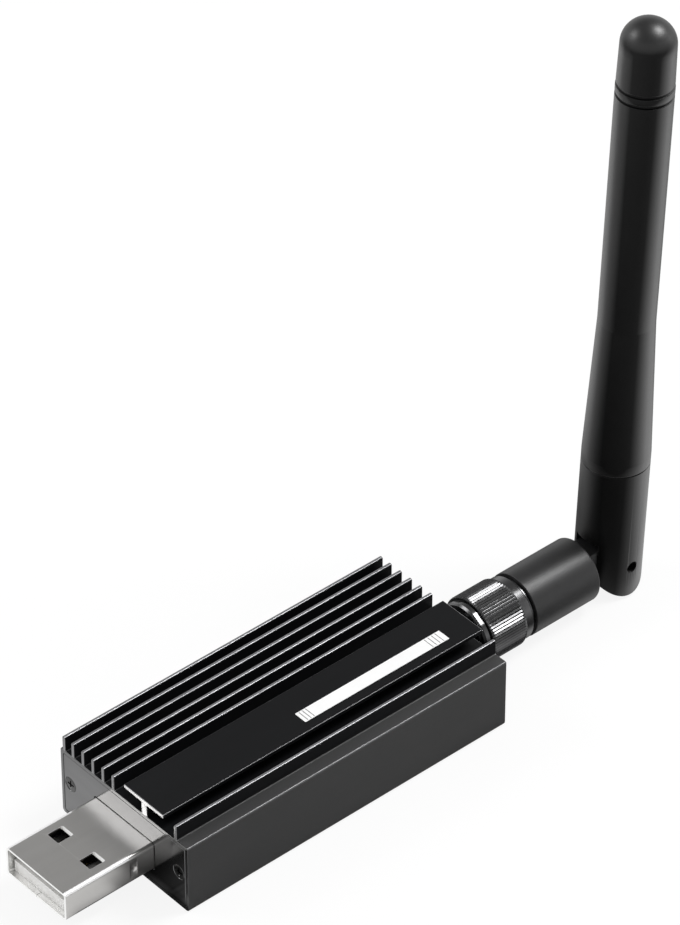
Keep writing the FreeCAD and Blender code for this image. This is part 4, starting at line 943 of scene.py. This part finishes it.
def make_barrel(finish):
    """The moulded swivel barrel and its flat tongue with the pin hole and the cable slot"""
    outer, bore, catch, catch_start, catch_end = 4.7, 2.56, 3.06, 45.865, 46.785
    barrel = turned_piece("barrel_shell", finish, [
        (BARREL_START, bore, 0.1), (catch_start, bore), (catch_start, catch), (catch_end, catch),
        (catch_end, CABLE_HOLE), (BARREL_END, CABLE_HOLE), (BARREL_END, outer, 0.45),
        (BARREL_START, outer, 0.12)], step=15)
    flat, radius, half, ease = bmesh.new(), 3.0, 2.0, 0.12
    arc = [Vector((ELBOW + radius * math.cos(turn), radius * math.sin(turn)))
           for turn in [math.radians(-90 + 7.5 * step) for step in range(25)]]
    side = [Vector((BARREL_END - 1, -radius)), *arc, Vector((BARREL_END - 1, radius))]
    hole = circle(ELBOW, 0, 0.9, 40)
    stations = ((-half, ease), (ease - half, 0), (half - ease, 0), (half, ease))
    solid(flat, rings(flat, [(y, inset(side, drawn)) for y, drawn in stations], axis=1),
          rings(flat, [(y, hole) for y, _ in stations], axis=1))
    tongue = make_piece("barrel_tongue", flat, [finish], ON_AXIS)
    slot, open_end = bmesh.new(), 5
    block(slot, (ELBOW - CABLE_HOLE, -CABLE_HOLE, AXIS_HEIGHT - CABLE_HOLE),
          (ELBOW + open_end, CABLE_HOLE, AXIS_HEIGHT + open_end), 0.02)
    cutter = make_piece("cable_slot_cutter", slot, [finish])
    cut = tongue.modifiers.new("cable_slot", "BOOLEAN")
    cut.operation = "DIFFERENCE"
    cut.object = cutter
    flatten(tongue)
    bpy.data.objects.remove(cutter)
    settle(joined("swivel_barrel_moulding", [barrel, tongue]), "antenna_base", "antenna_plastic",
           "swivel_barrel", angle=32)


def make_knuckle(finish):
    """The forked foot of the stick"""
    foot = eased_copy("stick_foot", "stick_knuckle", finish, 0.12)
    settle(foot, "antenna_stick", "antenna_plastic", "stick_knuckle", angle=32)


def make_sleeve(finish):
    """The tapered tube, with two ring grooves, a cap and a dome"""
    mesh = bmesh.new()
    foot, foot_bore, foot_depth, stick, cap_radius = 4.7, 3.23, 7.03, 3.9, 3.85
    groove, width, ease = 0.3, 0.5, 0.06
    dome_start, dome_radius, dome_height, dome_steps = 82.3, 3.74, 3.6, 14
    corners = [(SEAM, foot_bore), (SEAM, foot, 0.12), (SEAM + 1.5, foot, 1.0), (39.0, stick, 6.0)]
    for level, above in ((74.65, stick), (76.1, cap_radius)):
        corners += [(level, stick, 0.05), (level + ease, stick - groove, 0.04),
                    (level + width - ease, stick - groove, 0.04), (level + width, above, 0.05)]
    profile = rounded(corners + [(dome_start, dome_radius)])
    for angle in [math.pi / 2 * step / dome_steps for step in range(1, dome_steps + 1)]:
        profile.append((dome_start + dome_height * math.sin(angle), dome_radius * math.cos(angle)))
    step_at = SEAM + foot_depth
    profile += [(dome_start, 0), (dome_start, SLEEVE_BORE), (step_at, SLEEVE_BORE), (step_at, foot_bore)]
    revolve(mesh, profile)
    settle(make_piece("stick_sleeve", mesh, [finish], ON_ELBOW), "antenna_stick", "antenna_rubber",
           "antenna_sleeve", angle=50)


def make_hinge_pins(finish):
    """Two short pins with domed outer ends"""
    pins = []
    start, end, radius = 0.9, 3.9, 0.85
    for side in (1, -1):
        mesh = bmesh.new()
        revolve(mesh, rounded([(start, 0), (start, radius, 0.1), (end - 0.02, radius, 0.25), (end, 0)]), 48)
        turn = Matrix.Rotation(math.radians(-90 * side), 4, "X")
        pins.append(make_piece("pin", mesh, [finish], ON_ELBOW @ turn))
    settle(joined("elbow_pins", pins), "antenna_stick", "pin_steel", "hinge_pins")


def make_label(finishes, row):
    """A strip of film with a few plain bars at each end"""
    mesh = bmesh.new()
    left, right, half, margin = -6.5, -4.4, 0.06, 0.12
    film_start, film_end = -2.15, 22.75
    film = rectangle(film_start, film_end, left, right, 0.06)
    levels = ((0, 0.02), (0.05, 0), (0.07, 0.03))
    solid(mesh, rings(mesh, [(level, inset(film, drawn)) for level, drawn in levels], PLATFORM_TOP, axis=2))
    parts = [make_piece("label_base", mesh, [finishes["label_film"]])]
    bar_low, bar_high = PLATFORM_TOP + 0.062, PLATFORM_TOP + 0.078
    for start, count, step in ((21.9, 4, -0.62), (-1.6, 3, 0.55)):
        bar = bmesh.new()
        block(bar, (-half, left + margin, bar_low), (half, right - margin, bar_high), 0.004)
        piece = make_piece("label_bar", bar, [finishes["label_print"]])
        parts.append(repeat(piece, row, Count=count, Start=(start * MM, 0, 0), Step=(step * MM, 0, 0),
                            Finish=finishes["label_print"]))
    settle(joined("label", parts), "stick_body", "label_film", "label_strip")


def dress_frame(finishes):
    """Give every frame node that is kept its own finish"""
    for finish, names in CARRIED_OVER.items():
        for name in names:
            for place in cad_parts[name].material_slots:
                place.link = "OBJECT"
                place.material = finishes[finish]


def make_floor():
    """A pale floor that looks white and keeps the soft shadow of the stick"""
    mesh = bmesh.new()
    bmesh.ops.create_grid(mesh, x_segments=8, y_segments=8, size=3000)
    finish = bpy.data.materials.new("studio_floor")
    finish.use_nodes = True
    nodes = finish.node_tree.nodes
    nodes.remove(nodes["Principled BSDF"])
    clouds = spread(pattern(finish, 60), 0, 1)
    matt = node(finish, "BsdfDiffuse", Color=blend(clouds, tint(0.92), tint(0.95)))[0]
    lit = node(finish, "Emission", Color=tint(1), Strength=1.0)[0]
    # In reflections the floor glows, with painted shade in patches and under the stick.
    mirrored = node(finish, "Emission", Color=tint(1), Strength=floor_glow_with_painted_shade(finish))[0]
    rays, white_share = node(finish, "LightPath"), 0.88
    white = calculate("MULTIPLY", rays["Is Camera Ray"], white_share)
    plain = node(finish, "MixShader", white, matt, lit)
    mixed = node(finish, "MixShader", rays["Is Glossy Ray"], plain[0], mirrored)
    feed(nodes["Material Output"].inputs["Surface"], mixed[0])
    floor = make_piece("floor", mesh, [finish], Matrix.Translation((0, 0, -0.02)))


def floor_glow_with_painted_shade(finish):
    """How bright the floor glows in a glossy piece: painted shade in its patches, and a painted contact
    shadow close under the stick
    """
    place = places(finish)
    beneath = node(finish, "AmbientOcclusion", samples=8, Distance=5 * MM)["AO"]
    bright = spread(beneath, 0, 1, 0.2, 0.75)
    for rows in PAINTED_SHADE_PATCHES.values():
        dimmed = 1
        for way, low, high, start, stop in rows:
            row = spread(reach(place, way), low, high, start * MM, stop * MM)
            dimmed = calculate("MULTIPLY", row, dimmed)
        bright = calculate("MULTIPLY", bright, spread(dimmed, 1, 0, 0, 1))
    return bright


def make_world():
    """White behind the stick, a plain even light around it, and a calmer ceiling in its reflections"""
    world = bpy.data.worlds.new("studio")
    world.use_nodes = True
    bpy.context.scene.world = world
    rays = node(world, "LightPath")
    seen = calculate("MAXIMUM", rays["Is Camera Ray"], rays["Is Glossy Ray"])
    seen = calculate("MAXIMUM", seen, rays["Is Transmission Ray"])
    ceiling = spread(reach(node(world, "TexCoord")["Generated"], UP), 1, 0.3, 0.1, 0.6)
    mirrored = blend(rays["Is Camera Ray"], ceiling, tint(1))
    feed(world.node_tree.nodes["Background"].inputs["Color"], blend(seen, tint(0.5), mirrored))


def make_lamp(name, towards, distance, width, height, watts):
    """A soft box that looks at the stick"""
    lamp = bpy.data.lights.new(name, "AREA")
    lamp.shape = "RECTANGLE"
    lamp.size, lamp.size_y = width, height
    lamp.energy = watts
    box = add_object(name, lamp)
    direction = Vector(towards).normalized()
    box.location = direction * distance + Vector((0.025, 0, 0.03))
    box.rotation_euler = direction.to_track_quat("Z", "Y").to_euler()


def make_camera():
    """The photograph's own view"""
    lens = bpy.data.cameras.new("photograph_view")
    lens.sensor_fit = "VERTICAL"
    lens.sensor_height = SENSOR_HEIGHT
    lens.lens = LENS
    lens.clip_start, lens.clip_end = 0.01, 50
    camera = add_object("photograph_view", lens)
    up = VIEW_BACK.cross(VIEW_RIGHT)
    turn = Matrix((VIEW_RIGHT, up, VIEW_BACK)).transposed().to_4x4()
    camera.matrix_world = Matrix.Translation((VIEW_AIM + VIEW_BACK * VIEW_DISTANCE) * MM) @ turn
    bpy.context.scene.camera = camera


def main():
    """Make every piece, dress the frame and set up the studio"""
    finishes = make_finishes()
    ring, row, thread = ring_tree(), row_tree(), thread_tree()
    make_housing(finishes)
    plug_opening, jack_opening = rectangle(-6.1, 6.1, 2.6, 7.3, 0.55), circle(0, AXIS_HEIGHT, 3.25, 64)
    ends = (("front", FRONT, 1, plug_opening), ("rear", REAR, -1, jack_opening))
    for end, face_x, inwards, opening in ends:
        make_end_plate(end, face_x, inwards, opening, finishes["end_plate_metal"])
    for end, face_x, inwards, _ in ends:
        make_screws(end, face_x, inwards, finishes["black_screw_steel"], row)
    nickel = finishes["black_nickel"]
    make_usb_shell(finishes)
    make_plug_inside(finishes)
    make_jack(nickel, thread)
    make_washer_and_nut(nickel, ring)
    make_coupling(finishes["knurl_nickel"], ring)
    make_antenna_plug(nickel)
    make_barrel(finishes["antenna_plastic"])
    make_knuckle(finishes["stick_foot_plastic"])
    make_sleeve(finishes["antenna_rubber"])
    make_hinge_pins(finishes["pin_steel"])
    make_label(finishes, row)
    dress_frame(finishes)
    make_floor()
    make_world()
    make_lamp("key_box", (0.52, -0.22, 0.825), 0.8, 0.26, 0.26, 4.2)
    make_lamp("plug_box", (-0.508, 0.582, 0.635), 1.0, 0.4, 0.32, 2.3)
    make_lamp("back_box", (0.85, -0.45, 0.25), 0.9, 0.3, 0.4, 0.3)
    make_camera()
    bpy.context.scene.view_settings.view_transform = "Standard"


main()
